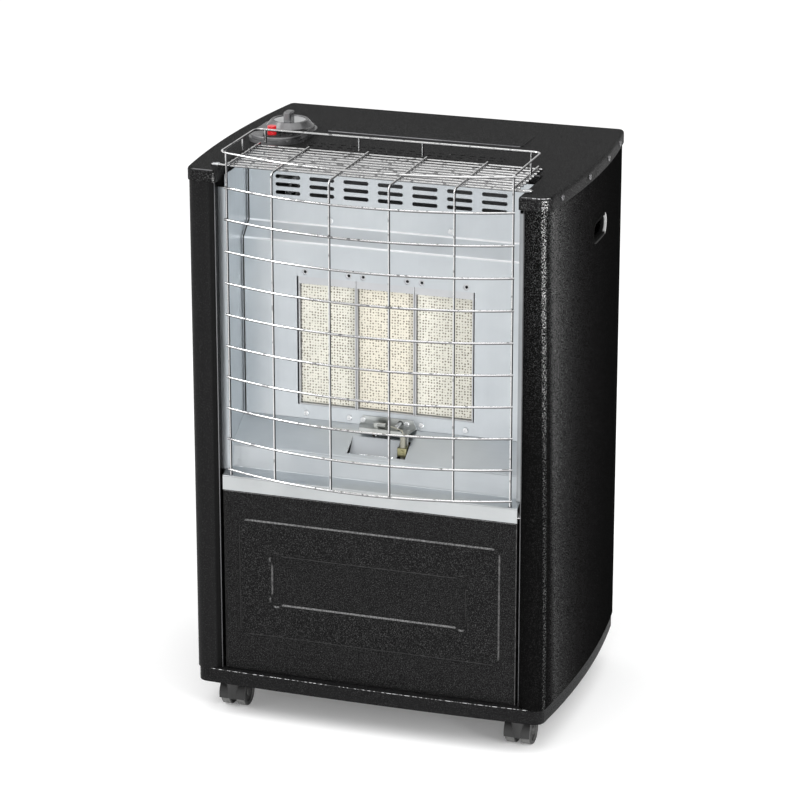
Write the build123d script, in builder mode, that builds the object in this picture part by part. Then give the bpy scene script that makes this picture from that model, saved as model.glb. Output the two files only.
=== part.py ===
from build123d import *
from math import asin, atan2, cos, degrees, radians, sin, sqrt
import os

# A portable gas cabinet heater: a black sheet-steel cabinet on four twin-wheel
# casters, with three ceramic plaque burners in a bright reflector behind a
# bowed wire guard, and a bay for the gas bottle behind a tilting rear cover.
# Millimetres, +Z up, the floor is z = 0, the front faces -Y.

os.makedirs("parts", exist_ok=True)

# ---------------------------------------------------------------- driving sizes
# Cabinet plan, measured from the plane of the front panel towards the rear.
cabinet_depth = 316.0  # front panel plane to the rear flanges
cabinet_height = 622.0  # underside of the base to the top of the lid
column_inner = 181.5  # half width between the two front columns
column_apex = 199.0  # where each column stands furthest forward
column_front = -8.0  # how far it stands forward there
front_bow = 4.0  # the base bows this much further forward at the centre
corner_radius = 14.0
corner_sweep = 84.0  # degrees, which sets the bow of the side
rear_half_width = 206.5
rear_corner = 6.0
sheet = 1.0  # casing sheet steel
column_return = 12.0  # inner flange of a column
rear_flange = 16.0

# Heights above the underside of the base.
base_height = 17.2
base_inset = 1.5
base_ledge = 13.0
panel_gap = 2.0  # from the side panel's top to the lid's inside
lid_overhang = 1.5
lid_rear_overhang = 4.0
lid_skirt = 15.0
lid_edge_radius = 4.0
lid_cut_margin = 5.0  # from a column's inner edge to the lid's cut-out
lid_cut_depth = 83.5
lid_cut_radius = 6.0
door_half_width = 177.0
door_gap = 0.6  # above the base
door_flange = 14.0
door_stop = 16.0  # width of the flange behind each side of the panel
door_stop_gap = 1.2
door_stop_foot = 26.0  # above the caster sockets
lip_bottom = 240.0
lip_top = 257.0
lip_half_width = door_half_width

# Reflector, of bright galvanised sheet.
liner = 0.8
reflector_half_width = 172.5
reflector_top = 612.0
upper_wall_depth = 80.0
upper_wall_foot = 542.8
burner_wall_top = 526.0
burner_wall_depth = 61.3
burner_wall_foot = 315.5
slope_depth = 20.0
slope_foot = 289.0
step_depth = 17.0
step_foot = 264.0
reflector_front = 12.0  # front edge of the side walls
window_half_width = 106.4
window_bottom = 332.0
window_top = 486.0
slot_columns = 7
slot_rows = 3
slot_width = 30.0
slot_height = 4.6
slot_pitch = 41.0
slot_row_pitch = 9.3
slot_top_row = 596.0
flap_left = -34.0
flap_right = 23.0
flap_hole_right = 36.0
flap_start = 17.5  # along the slope from its top bend
flap_length = 26.0
flap_tilt = 22.0  # degrees, pushed in from the slope
access_hole_radius = 3.8
access_hole_height = 491.5
burner_screw_height = 321.8
burner_screw_reach = 8.6  # from a burner's edge to its screw

# Burners.
plaque_width = 66.4
plaque_fit = 0.3
plaque_height = 143.5
plaque_thickness = 13.0
plaque_recess = 5.0
burner_wall = 1.2
burner_gap = 0.6  # between two burners
burner_box_depth = 30.0
mixer_radius = 11.0
mixer_bore = 9.0
mixer_offset = 15.0  # behind the burner box
mixer_foot = 326.0
mixer_top = 452.0
jet_radius = 4.5
jet_length = 16.0
jet_gap = 6.0  # from the jet's tip to the mixer's mouth
manifold_height = 14.0
manifold_half_length = 84.0

# Wire guard.
wire_radius = 1.4
weld_bite = 0.35  # how far two welded wires sink into each other
guard_side_gap = 2.5  # from the reflector's side to the guard's end
guard_bow = 33.0
guard_side_depth = 2.0
guard_rows = 10
guard_row_pitch = 37.2
guard_bottom_row = 265.0
guard_upright_share = (-0.63, -0.206, 0.206, 0.63)  # of the guard's half width
guard_hook = 14.0  # of the side uprights below the bottom row
rail_height = 21.0  # of the rail's centre above the lid
rail_bend = 9.0
shelf_depth = 103.0
shelf_front = 19.0
shelf_wire_count = 9
shelf_inset = 4.0  # from the rail to the shelf's side wires
mount_wire_depth = 9.0
mount_wire_overlap = 5.5  # beyond a column's inner edge
upright_bend = 6.0

# Rear cover.
cover_bottom = 197.0
cover_top_gap = 2.0
cover_half_width = 203.0
cover_pan = 5.0
cover_clearance = 0.3
hinge_drop = 6.0  # from the cover's lower edge to its pivot
hinge_inset = 8.0  # from the rear flange to the pivot
hinge_pin_radius = 2.5
hinge_clearance = 0.35
stud_radius = 3.0
stud_half_span = 150.0
stud_height = 583.0
stud_length = 13.0

# Controls, on the left of the lid.
plinth_x = -160.0
plinth_depth = 165.0
plinth_width = 66.0
plinth_length = 100.0
plinth_height = 8.0
knob_x = -151.5
knob_depth = 165.0
knob_radius = 27.0
knob_top_radius = 21.5
knob_skirt = 6.5
knob_gap = 5.2  # lets the knob be pressed by 4 mm above the igniter's flange
fin_width = 9.0
fin_height = 10.0
fin_length = 16.0
fin_shift = 3.0  # the fin stands this much before the knob's axis
spindle_radius = 4.0
button_x = -161.0
button_depth = 131.0
button_radius = 5.2
button_rise = 11.0
button_travel = 6.0
running_fit = 0.06

# Casters.
caster_x = 175.5
caster_front_depth = 20.0
caster_rear_depth = 268.0
caster_trail = 13.0
wheel_radius = 17.0
wheel_width = 12.0
caster_web = 6.0
caster_width = 31.0
caster_top = 37.5
caster_height = 41.0  # floor to the underside of the base
stem_radius = 4.0
stem_length = 24.0
socket_wall = 2.0
axle_radius = 2.0

# ---------------------------------------------------------------- derived places
base_z = caster_height
lid_cut_half_width = column_inner - lid_cut_margin
lid_z = base_z + cabinet_height
ledge_z = base_z + base_height
weld_step = 2 * wire_radius - weld_bite
guard_half_width = reflector_half_width - guard_side_gap
guard_side_upright = guard_half_width - wire_radius
shelf_half_width = guard_half_width - shelf_inset
mount_wire_reach = column_inner + mount_wire_overlap
guard_reach = guard_bow - guard_side_depth + wire_radius
cover_back = cabinet_depth + cover_clearance + cover_pan
door_y = (guard_reach - cover_back) / 2
front_lean = degrees(2 * atan2(front_bow, column_apex))


def at(depth):
    """Y of a depth measured behind the front panel's plane."""
    return door_y + depth


def up(height):
    """Z of a height measured above the underside of the base."""
    return base_z + height


def guard_spot(x, inside=0.0):
    """Plan of the bowed wires at x: the point itself, or one set in towards the rear."""
    radius = (guard_half_width**2 + guard_bow**2) / (2 * guard_bow)
    turn = asin(x / radius)
    reach = radius - inside
    return reach * sin(turn), guard_side_depth - guard_bow + radius - reach * cos(turn)


def save(part, label):
    """Names a finished piece and writes its file."""
    part.label = label
    export_step(part, f"parts/{label}.step")


def corner_centre():
    """Centre of the rounded front corner, tangent to the bowed front at the apex."""
    lean = radians(front_lean)
    return (
        column_apex - corner_radius * sin(lean),
        at(column_front) + corner_radius * cos(lean),
    )


def side_start():
    """Where the front corner ends and the bowed side begins."""
    x, y = corner_centre()
    turn = radians(corner_sweep - 90)
    return x + corner_radius * cos(turn), y + corner_radius * sin(turn)


def side_circle():
    """Centre and radius of the bowed side's outer face."""
    x, y = side_start()
    chord = Vector(rear_half_width - x, at(cabinet_depth) - y)
    turn = radians(corner_sweep)
    inward = Vector(-sin(turn), cos(turn))
    radius = chord.dot(chord) / (2 * chord.dot(inward))
    return x + radius * inward.X, y + radius * inward.Y, radius


def side_x(depth):
    """Half width of the bowed side's outer face at a depth, and its lean in degrees."""
    x, y, radius = side_circle()
    offset_y = at(depth) - y
    return x + sqrt(radius**2 - offset_y**2), degrees(asin(offset_y / radius))


def cabinet_plan(grow=0.0, rear=cabinet_depth):
    """Closed plan of the whole casing at its outer faces, grown or shrunk."""
    with BuildSketch() as plan:
        with BuildLine():
            front = (0, at(column_front - front_bow))
            TangentArc(front, (column_apex, at(column_front)), tangent=(1, 0))
            start_angle = front_lean - 90
            CenterArc(corner_centre(), corner_radius, start_angle, corner_sweep - front_lean)
            corner = (side_x(rear)[0], at(rear))
            turn = radians(corner_sweep)
            TangentArc(side_start(), corner, tangent=(cos(turn), sin(turn)))
            Line(corner, (0, at(rear)))
            mirror(about=Plane.YZ)
        make_face()
        rear_corners = plan.vertices().filter_by(
            lambda v: abs(v.Y - at(rear)) < 0.01 and abs(v.X) > 1
        )
        fillet(rear_corners, rear_corner)
        if grow:
            offset(amount=grow)
    return plan.sketch


# ---------------------------------------------------------------- base and casing
caster_spots = {
    "front_left": (-caster_x, caster_front_depth),
    "front_right": (caster_x, caster_front_depth),
    "rear_left": (-caster_x, caster_rear_depth),
    "rear_right": (caster_x, caster_rear_depth),
}
socket_radius = stem_radius + socket_wall
bottle_ring_radius = 112.0
bottle_depth = 178.0

with BuildPart() as base_tray:
    with BuildSketch(Plane.XY.offset(base_z)):
        add(cabinet_plan(-base_inset))
    extrude(amount=base_height)
    with BuildSketch(Plane.XY.offset(base_z + sheet)):
        add(cabinet_plan(-base_inset - sheet))
    extrude(amount=base_height - 2 * sheet, mode=Mode.SUBTRACT)
    with BuildSketch(Plane.XY.offset(base_z + sheet)):
        add(cabinet_plan(-base_inset - base_ledge))
    extrude(amount=base_height, mode=Mode.SUBTRACT)
    with BuildSketch(Plane.XY.offset(base_z)):
        for x, depth in caster_spots.values():
            with Locations((x, at(depth))):
                Circle(socket_radius)
        with Locations((0, at(bottle_depth))):
            with PolarLocations(bottle_ring_radius - 30, 8):
                SlotOverall(30, 7, rotation=90)
    extrude(amount=sheet, mode=Mode.SUBTRACT)
    with BuildSketch(Plane.XY.offset(base_z + sheet)):
        with Locations((0, at(bottle_depth))):
            Circle(bottle_ring_radius)
            Circle(bottle_ring_radius - 5, mode=Mode.SUBTRACT)
    extrude(amount=2.0)
save(base_tray.part, "base_tray")

handle_depth = 176.0
handle_height = 541.0
handle_length = 57.0
handle_opening = 21.0
handle_collar = 7.0
handle_corner = handle_opening / 2 - 0.5
grip_wall = 1.2
grip_clearance = 0.1
grip_room = grip_wall + grip_clearance
grip_lip = 0.8
grip_lip_width = 1.6
lid_screw_depths = (27.0, 121.0, 207.0, 277.0)
lid_screw_height = cabinet_height - 7.0
screw_radius = 1.8
screw_hole = 2.1
screw_head_radius = 3.4
panel_height = cabinet_height - sheet - panel_gap - base_height

with BuildPart() as side_panel_right:
    with BuildSketch(Plane.XY.offset(ledge_z)):
        add(cabinet_plan())
        add(cabinet_plan(-sheet), mode=Mode.SUBTRACT)
        with Locations((0, at(0))):
            Rectangle(2 * column_apex - sheet, 2 * corner_radius, mode=Mode.SUBTRACT)
        with Locations((0, at(cabinet_depth))):
            flange_reach = rear_half_width - rear_flange
            Rectangle(2 * flange_reach, cabinet_depth, mode=Mode.SUBTRACT)
        with Locations((-cabinet_depth, at(cabinet_depth / 2))):
            Rectangle(2 * cabinet_depth, 2 * cabinet_depth, mode=Mode.SUBTRACT)
        with BuildLine():
            apex = (column_apex, at(column_front))
            lean = radians(front_lean)
            face = TangentArc(apex, (column_inner, at(0)), tangent=(-cos(lean), -sin(lean)))
            Line(face @ 1, (column_inner, at(column_return)))
            offset(amount=sheet, side=Side.RIGHT)
        make_face()
    extrude(amount=panel_height)
    stop_depth = door_flange + door_stop_gap
    with BuildSketch(Plane.XY.offset(up(door_stop_foot))):
        with Locations((column_inner, at(column_return - sheet))):
            return_length = stop_depth + 2 * sheet - column_return
            Rectangle(sheet, return_length, align=(Align.MIN, Align.MIN))
        with Locations((column_inner + sheet, at(stop_depth))):
            Rectangle(door_stop, sheet, align=(Align.MAX, Align.MIN))
    extrude(amount=lip_bottom - door_stop_foot)
    slot_x = side_x(handle_depth)[0]
    handle_plane = Plane(
        origin=(slot_x + 4, at(handle_depth), up(handle_height)),
        x_dir=(0, 1, 0),
        z_dir=(1, 0, 0),
    )
    with BuildSketch(handle_plane):
        RectangleRounded(
            handle_length + 2 * grip_room,
            handle_opening + 2 * grip_room,
            handle_corner + grip_room,
        )
    extrude(amount=-20, mode=Mode.SUBTRACT)
    for depth in lid_screw_depths:
        x, lean = side_x(depth)
        hole_plane = Plane(
            origin=(x, at(depth), up(lid_screw_height)),
            z_dir=(cos(radians(lean)), sin(radians(lean)), 0),
        )
        with BuildSketch(hole_plane.offset(3)):
            Circle(screw_hole)
        extrude(amount=-8, mode=Mode.SUBTRACT)
save(side_panel_right.part, "side_panel_right")

with BuildPart() as side_panel_left:
    mirror(side_panel_right.part, about=Plane.YZ)
save(side_panel_left.part, "side_panel_left")

grip_reach = grip_room + grip_lip_width
grip_foot = Plane.XY.offset(up(handle_height - handle_opening))
with BuildPart() as grip_flange:
    with BuildSketch(handle_plane):
        RectangleRounded(
            handle_length + 2 * grip_reach,
            handle_opening + 2 * grip_reach,
            handle_corner + grip_reach,
        )
        RectangleRounded(handle_length, handle_opening, handle_corner, mode=Mode.SUBTRACT)
    extrude(amount=-handle_collar)
    with BuildSketch(grip_foot):
        add(cabinet_plan())
    extrude(amount=2 * handle_opening, mode=Mode.SUBTRACT)

with BuildPart() as hand_grips:
    with BuildSketch(handle_plane):
        RectangleRounded(
            handle_length + 2 * grip_wall,
            handle_opening + 2 * grip_wall,
            handle_corner + grip_wall,
        )
        RectangleRounded(handle_length, handle_opening, handle_corner, mode=Mode.SUBTRACT)
    extrude(amount=-4 - handle_collar)
    add(grip_flange.part)
    with BuildSketch(grip_foot):
        add(cabinet_plan(grip_lip))
    extrude(amount=2 * handle_opening, mode=Mode.INTERSECT)
    mirror(about=Plane.YZ)
save(hand_grips.part, "hand_grips")

# ---------------------------------------------------------------- lid
vent_columns = 20
vent_pitch = 12.0
vent_length = 7.5
vent_width = 2.6
vent_depths = (117.0, 128.5, 140.0)
field_half_width = 120.0
field_front = 197.0
field_rear = 252.0
field_rise = 0.8
spindle_hole = spindle_radius + 1.6
piezo_radius = 8.0
piezo_hole = piezo_radius + 0.3

with BuildPart() as top_cover:
    with BuildSketch(Plane.XY.offset(lid_z - lid_skirt)) as lid_plan:
        add(cabinet_plan(lid_overhang, cabinet_depth + lid_rear_overhang - lid_overhang))
        with Locations((0, at(0))):
            Rectangle(2 * lid_cut_half_width, 2 * lid_cut_depth, mode=Mode.SUBTRACT)
        rear_corners = lid_plan.vertices().filter_by(
            lambda v: abs(abs(v.X) - lid_cut_half_width) < 0.01 and v.Y > at(lid_cut_depth / 2)
        )
        fillet(rear_corners, lid_cut_radius)
        front_corners = lid_plan.vertices().filter_by(
            lambda v: abs(abs(v.X) - lid_cut_half_width) < 0.01 and v.Y < at(20)
        )
        fillet(front_corners, lid_edge_radius + 0.5)
    extrude(amount=lid_skirt)
    fillet(top_cover.faces().sort_by(Axis.Z)[-1].outer_wire().edges(), lid_edge_radius)
    offset(amount=-sheet, openings=top_cover.faces().sort_by(Axis.Z)[0])
    with BuildSketch(Plane.XY.offset(lid_z)):
        for depth in vent_depths:
            with Locations((0, at(depth))):
                with GridLocations(vent_pitch, 1, vent_columns, 1):
                    SlotOverall(vent_length, vent_width)
        with Locations((knob_x, at(knob_depth))):
            Circle(spindle_hole)
        with Locations((button_x, at(button_depth))):
            Circle(piezo_hole)
    extrude(amount=-2 * sheet, mode=Mode.SUBTRACT)
    field_centre = (0, at((field_front + field_rear) / 2))
    field_size = (2 * field_half_width, field_rear - field_front)
    with BuildSketch(Plane.XY.offset(lid_z)):
        with Locations(field_centre):
            RectangleRounded(*field_size, 6)
    extrude(amount=field_rise, taper=45)
    with BuildSketch(Plane.XY.offset(lid_z - sheet)):
        with Locations(field_centre):
            RectangleRounded(*[length - 2 * sheet for length in field_size], 5)
    extrude(amount=field_rise, taper=45, mode=Mode.SUBTRACT)
    for depth in lid_screw_depths:
        x, lean = side_x(depth)
        hole_plane = Plane(
            origin=(x, at(depth), up(lid_screw_height)),
            z_dir=(cos(radians(lean)), sin(radians(lean)), 0),
        )
        with BuildSketch(hole_plane.offset(6)):
            Circle(screw_hole)
        hole = extrude(amount=-10, mode=Mode.PRIVATE)
        add([hole, hole.mirror(Plane.YZ)], mode=Mode.SUBTRACT)
save(top_cover.part, "top_cover")

# ---------------------------------------------------------------- front panel
door_bottom = base_height + door_gap
door_top = lip_bottom - door_gap
door_height = door_top - door_bottom
field_margin = 19.2  # from the panel's side to its raised field
door_field_bottom = 64.0
door_field_top = 207.0
door_emboss = 1.6
door_bevel = 45.0
badge_half_width = 118.0
badge_height = 62.0
badge_ear_radius = 9.0
badge_ear_inset = 6.0


def badge_outline(grow=0.0):
    """The inner pressed field: a long rectangle with a rounded ear at each corner."""
    with BuildSketch() as badge:
        Rectangle(2 * badge_half_width, badge_height)
        ears = 2 * (badge_half_width - badge_ear_inset)
        with GridLocations(ears, badge_height - 2 * badge_ear_inset, 2, 2):
            Circle(badge_ear_radius)
        hollow = badge.vertices().filter_by(
            lambda v: abs(abs(v.X) - badge_half_width) < 0.01
            or abs(abs(v.Y) - badge_height / 2) < 0.01
        )
        fillet(hollow, 7)
        if grow:
            offset(amount=grow)
    return badge.sketch


with BuildPart() as front_panel:
    panel_plane = Plane(
        origin=(0, at(0), up((door_bottom + door_top) / 2)),
        x_dir=(1, 0, 0),
        z_dir=(0, -1, 0),
    )
    with BuildSketch(panel_plane):
        Rectangle(2 * door_half_width, door_height)
    extrude(amount=-door_flange)
    front_face = front_panel.faces().sort_by(Axis.Y)[0]
    fillet(front_face.outer_wire().edges(), 1.8)
    offset(amount=-sheet, openings=front_panel.faces().sort_by(Axis.Y)[-1])
    field_width = 2 * (door_half_width - field_margin)
    field_height = door_field_top - door_field_bottom
    field_plane = panel_plane.shift_origin(
        Vector(0, at(0), up((door_field_bottom + door_field_top) / 2))
    )
    with BuildSketch(field_plane):
        RectangleRounded(field_width, field_height, 11)
    extrude(amount=door_emboss, taper=door_bevel)
    with BuildSketch(field_plane.offset(-sheet)):
        RectangleRounded(field_width - 2 * sheet, field_height - 2 * sheet, 10)
    extrude(amount=door_emboss, taper=door_bevel, mode=Mode.SUBTRACT)
    with BuildSketch(field_plane.offset(-sheet)):
        add(badge_outline(2 * sheet))
    extrude(amount=door_emboss)
    with BuildSketch(field_plane.offset(door_emboss)):
        add(badge_outline())
    extrude(amount=-door_emboss, taper=door_bevel, mode=Mode.SUBTRACT)
save(front_panel.part, "front_panel")

# ---------------------------------------------------------------- reflector
SIDE_PLANE = Plane(origin=(0, 0, 0), x_dir=(0, 1, 0), z_dir=(1, 0, 0))


def spot(depth, height):
    """A point of a side view: depth behind the panel plane, height above the base."""
    return at(depth), up(height)


def bent_sheet(points, half_width, thickness, bend=2.5, side=Side.LEFT):
    """A folded sheet across the cabinet, from the corner points of its side view."""
    with BuildPart(mode=Mode.PRIVATE) as folded:
        with BuildSketch(SIDE_PLANE):
            with BuildLine():
                FilletPolyline(*points, radius=bend)
                offset(amount=thickness, side=side)
            make_face()
        extrude(amount=half_width, both=True)
    return folded.part


back_path = [
    spot(upper_wall_depth, reflector_top),
    spot(upper_wall_depth, upper_wall_foot),
    spot(burner_wall_depth, burner_wall_top),
    spot(burner_wall_depth, burner_wall_foot),
]
floor_path = [
    spot(burner_wall_depth, burner_wall_foot - 0.3),
    spot(slope_depth, slope_foot),
    spot(step_depth, step_foot),
    spot(0, lip_top),
    spot(0, lip_bottom),
]
burner_width = plaque_width + 2 * plaque_fit + 2 * burner_wall
burner_pitch = burner_width + burner_gap
burner_names = {"left": -burner_pitch, "center": 0.0, "right": burner_pitch}
screw_reach = burner_pitch / 2 - burner_screw_reach
burner_screw_spots = [
    (x + turn * screw_reach) for x in burner_names.values() for turn in (-1, 1)
]
wall_screw_half_span = 72.0
wall_screw_height = 549.0
thermocouple_x = 18.6
thermocouple_height = burner_screw_height
thermocouple_hole = 3.2
pilot_x = -8.0
pilot_depth = 52.0
pilot_hole = 4.2
screw_plane = Plane(origin=(0, at(burner_wall_depth), base_z), x_dir=(1, 0, 0), z_dir=(0, -1, 0))
wall_plane = Plane(origin=(0, at(upper_wall_depth), base_z), x_dir=(1, 0, 0), z_dir=(0, -1, 0))

with BuildPart() as reflector_back:
    add(bent_sheet(back_path, reflector_half_width, liner))
    with BuildSketch(screw_plane.offset(-liner)):
        with Locations((0, (window_bottom + window_top) / 2)):
            Rectangle(2 * window_half_width, window_top - window_bottom)
        for x in burner_screw_spots:
            with Locations((x, burner_screw_height)):
                Circle(screw_hole)
            with Locations((x, access_hole_height)):
                Circle(access_hole_radius)
        with Locations((thermocouple_x, thermocouple_height)):
            Circle(thermocouple_hole)
    extrude(amount=2 * liner, mode=Mode.SUBTRACT)
    with BuildSketch(wall_plane.offset(-liner)):
        middle_row = slot_top_row - slot_row_pitch * (slot_rows - 1) / 2
        with Locations((0, middle_row)):
            with GridLocations(slot_pitch, slot_row_pitch, slot_columns, slot_rows):
                SlotOverall(slot_width, slot_height)
        for x in (-wall_screw_half_span, wall_screw_half_span):
            with Locations((x, wall_screw_height)):
                Circle(screw_hole)
    extrude(amount=2 * liner, mode=Mode.SUBTRACT)
save(reflector_back.part, "reflector_back")

side_outline = [
    spot(reflector_front, reflector_top),
    *back_path,
    *floor_path[1:3],
    spot(reflector_front, step_foot - 2),
]
wall_flange = column_inner + sheet - reflector_half_width

with BuildPart() as reflector_right:
    with BuildSketch(SIDE_PLANE.offset(reflector_half_width)):
        with BuildLine():
            Polyline(*side_outline, close=True)
        make_face()
    extrude(amount=liner)
    with BuildSketch(Plane.XY.offset(up(lip_top + 4))):
        with Locations((reflector_half_width, at(reflector_front))):
            Rectangle(wall_flange, liner, align=(Align.MIN, Align.MIN))
    extrude(amount=reflector_top - lip_top - 4 - lid_skirt)
save(reflector_right.part, "reflector_right")

with BuildPart() as reflector_left:
    mirror(reflector_right.part, about=Plane.YZ)
save(reflector_left.part, "reflector_left")

slope_run = burner_wall_depth - slope_depth
slope_drop = burner_wall_foot - slope_foot
slope_angle = degrees(atan2(slope_drop, slope_run))
slope_plane = Plane(
    origin=(0, *spot(burner_wall_depth, burner_wall_foot)),
    x_dir=(1, 0, 0),
    z_dir=(0, -sin(radians(slope_angle)), cos(radians(slope_angle))),
)
flap_plane = Plane(
    origin=slope_plane.from_local_coords(Vector(0, -flap_start, 0)),
    x_dir=(1, 0, 0),
    z_dir=(
        0,
        -sin(radians(slope_angle + flap_tilt)),
        cos(radians(slope_angle + flap_tilt)),
    ),
)
guard_hook_radius = wire_radius + 0.5

with BuildPart() as reflector_floor:
    add(bent_sheet(floor_path, lip_half_width, liner))
    with BuildSketch(Plane.XY.offset(up(0))):
        side_strip = lip_half_width - reflector_half_width
        strip_length = burner_wall_depth
        for turn in (-1, 1):
            strip_x = turn * (reflector_half_width + side_strip / 2)
            with Locations((strip_x, at(reflector_front - liner / 2 + strip_length / 2))):
                Rectangle(side_strip, strip_length + liner)
    extrude(amount=cabinet_height, mode=Mode.SUBTRACT)
    with BuildSketch(slope_plane.offset(liner)):
        hole_width = flap_hole_right - flap_left
        with Locations((flap_left, -flap_start)):
            Rectangle(hole_width, flap_length, align=(Align.MIN, Align.MAX))
    extrude(amount=-3 * liner, mode=Mode.SUBTRACT)
    with BuildSketch(flap_plane):
        with Locations((flap_left, 0)):
            Rectangle(flap_right - flap_left, flap_length, align=(Align.MIN, Align.MAX))
    extrude(amount=-liner)
    with BuildSketch(Plane.XY.offset(up(burner_wall_foot))):
        with Locations((pilot_x, at(pilot_depth))):
            Circle(pilot_hole)
    extrude(amount=-slope_drop, mode=Mode.SUBTRACT)
    with BuildSketch(Plane.XY.offset(up(step_foot + 2))):
        for turn in (-1, 1):
            hook_x, hook_depth = guard_spot(guard_side_upright, weld_step)
            with Locations((turn * hook_x, at(hook_depth))):
                Circle(guard_hook_radius)
    extrude(amount=-14, mode=Mode.SUBTRACT)
save(reflector_floor.part, "reflector_floor")

# ---------------------------------------------------------------- burners
plaque_bottom = window_bottom + 1.5
plaque_middle = plaque_bottom + plaque_height / 2
box_height = plaque_height + 2 * burner_wall + 2 * plaque_fit
flange_bottom = burner_wall_foot + 1.0
flange_top = window_top + 11.0
flange_depth = burner_wall_depth + liner
mixer_depth = flange_depth + burner_box_depth + mixer_offset
throat_height = mixer_top - mixer_radius - 2
mixer_mouth = 15.0
mixer_flare = 9.0
ledge_inside = 2.0  # the ceramic rests on this shoulder


def burner_box(x, pilot):
    """One burner: a pressed box behind the ceramic with a mixing tube at its back."""
    face = Plane(origin=(x, at(flange_depth), base_z), x_dir=(1, 0, 0), z_dir=(0, 1, 0))
    with BuildPart(mode=Mode.PRIVATE) as box:
        with BuildSketch(face):
            with Locations((0, -(flange_bottom + flange_top) / 2)):
                Rectangle(burner_width, flange_top - flange_bottom)
        extrude(amount=burner_wall)
        with BuildSketch(face):
            with Locations((0, -plaque_middle)):
                Rectangle(burner_width, box_height)
        extrude(amount=burner_box_depth)
        seat = plaque_recess - liner + plaque_thickness
        with BuildSketch(face):
            with Locations((0, -plaque_middle)):
                Rectangle(plaque_width + 2 * plaque_fit, plaque_height + 2 * plaque_fit)
        extrude(amount=seat, mode=Mode.SUBTRACT)
        with BuildSketch(face.offset(seat)):
            with Locations((0, -plaque_middle)):
                Rectangle(plaque_width - 2 * ledge_inside, plaque_height - 2 * ledge_inside)
        extrude(amount=burner_box_depth - seat - burner_wall, mode=Mode.SUBTRACT)
        throat = Plane(
            origin=(x, at(flange_depth + burner_box_depth - burner_wall), up(throat_height)),
            x_dir=(1, 0, 0),
            z_dir=(0, 1, 0),
        )
        with BuildSketch(throat):
            Circle(mixer_bore)
        extrude(amount=mixer_offset)
        with BuildSketch(Plane((x, at(mixer_depth), up(mixer_foot)))):
            Circle(mixer_radius)
        extrude(amount=mixer_top - mixer_foot)
        with BuildSketch(Plane((x, at(mixer_depth), up(mixer_foot)))):
            Circle(mixer_radius)
        with BuildSketch(Plane((x, at(mixer_depth), up(mixer_foot - mixer_flare)))):
            Circle(mixer_mouth)
        loft()
        with BuildSketch(Plane((x, at(mixer_depth), up(mixer_foot)))):
            Circle(mixer_bore)
        extrude(amount=mixer_top - mixer_foot - burner_wall, mode=Mode.SUBTRACT)
        with BuildSketch(Plane((x, at(mixer_depth), up(mixer_foot)))):
            Circle(mixer_bore)
        with BuildSketch(Plane((x, at(mixer_depth), up(mixer_foot - mixer_flare)))):
            Circle(mixer_mouth - 2)
        loft(mode=Mode.SUBTRACT)
        with BuildSketch(throat.offset(-burner_wall)):
            Circle(mixer_bore - burner_wall)
        extrude(amount=mixer_offset + 2 * burner_wall, mode=Mode.SUBTRACT)
        with BuildSketch(face):
            for turn in (-1, 1):
                for height in (burner_screw_height, access_hole_height):
                    with Locations((turn * screw_reach, -height)):
                        Circle(screw_radius)
            if pilot:
                with Locations((thermocouple_x, -thermocouple_height)):
                    Circle(thermocouple_hole)
        extrude(amount=burner_wall, mode=Mode.SUBTRACT)
    return box.part


def plaque(x):
    """One ceramic plaque, slightly bevelled round its face."""
    front = Plane(
        origin=(x, at(burner_wall_depth + plaque_recess), up(plaque_middle)),
        x_dir=(1, 0, 0),
        z_dir=(0, 1, 0),
    )
    with BuildPart(mode=Mode.PRIVATE) as slab:
        with BuildSketch(front):
            Rectangle(plaque_width, plaque_height)
        extrude(amount=plaque_thickness)
        chamfer(slab.faces().sort_by(Axis.Y)[0].edges(), 0.8)
    return slab.part


for name, x in burner_names.items():
    save(burner_box(x, name == "center"), f"burner_{name}")
    save(plaque(x), f"plaque_{name}")

# ---------------------------------------------------------------- gas train
manifold_depth = mixer_depth
jet_top = mixer_foot - mixer_flare - jet_gap
manifold_top = jet_top - jet_length
manifold_middle = manifold_top - manifold_height / 2
manifold_bore = 3.5
tube_radius = 3.0
pilot_tube_radius = 2.0
supply_radius = 4.0

with BuildPart() as gas_manifold:
    with Locations((0, at(manifold_depth), up(manifold_middle))):
        Box(2 * manifold_half_length, manifold_height, manifold_height)
    chamfer(gas_manifold.edges().filter_by(Axis.X), 1.2)
    bore_plane = Plane(
        origin=(-manifold_half_length, at(manifold_depth), up(manifold_middle)),
        z_dir=(1, 0, 0),
    )
    with BuildSketch(bore_plane):
        Circle(manifold_bore)
    extrude(amount=2 * manifold_half_length - 4, mode=Mode.SUBTRACT)
    with BuildSketch(Plane.XY.offset(up(manifold_top))):
        for x in burner_names.values():
            with Locations((x, at(manifold_depth))):
                Circle(jet_radius - 1.5)
    extrude(amount=-manifold_height / 2, mode=Mode.SUBTRACT)
save(gas_manifold.part, "gas_manifold")

jet_bore = 0.5
with BuildPart() as injectors:
    with BuildSketch(Plane.XY.offset(up(manifold_top))):
        for x in burner_names.values():
            with Locations((x, at(manifold_depth))):
                RegularPolygon(jet_radius, 6)
    extrude(amount=jet_length * 0.5)
    with BuildSketch(Plane.XY.offset(up(manifold_top + jet_length * 0.5))):
        for x in burner_names.values():
            with Locations((x, at(manifold_depth))):
                Circle(jet_radius - 1.5)
    extrude(amount=jet_length * 0.5)
    chamfer(injectors.faces().sort_by(Axis.Z)[-3:].edges(), 0.8)
    with BuildSketch(Plane.XY.offset(up(manifold_top))):
        for x in burner_names.values():
            with Locations((x, at(manifold_depth))):
                Circle(jet_bore)
    extrude(amount=jet_length, mode=Mode.SUBTRACT)
save(injectors.part, "injectors")

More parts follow.
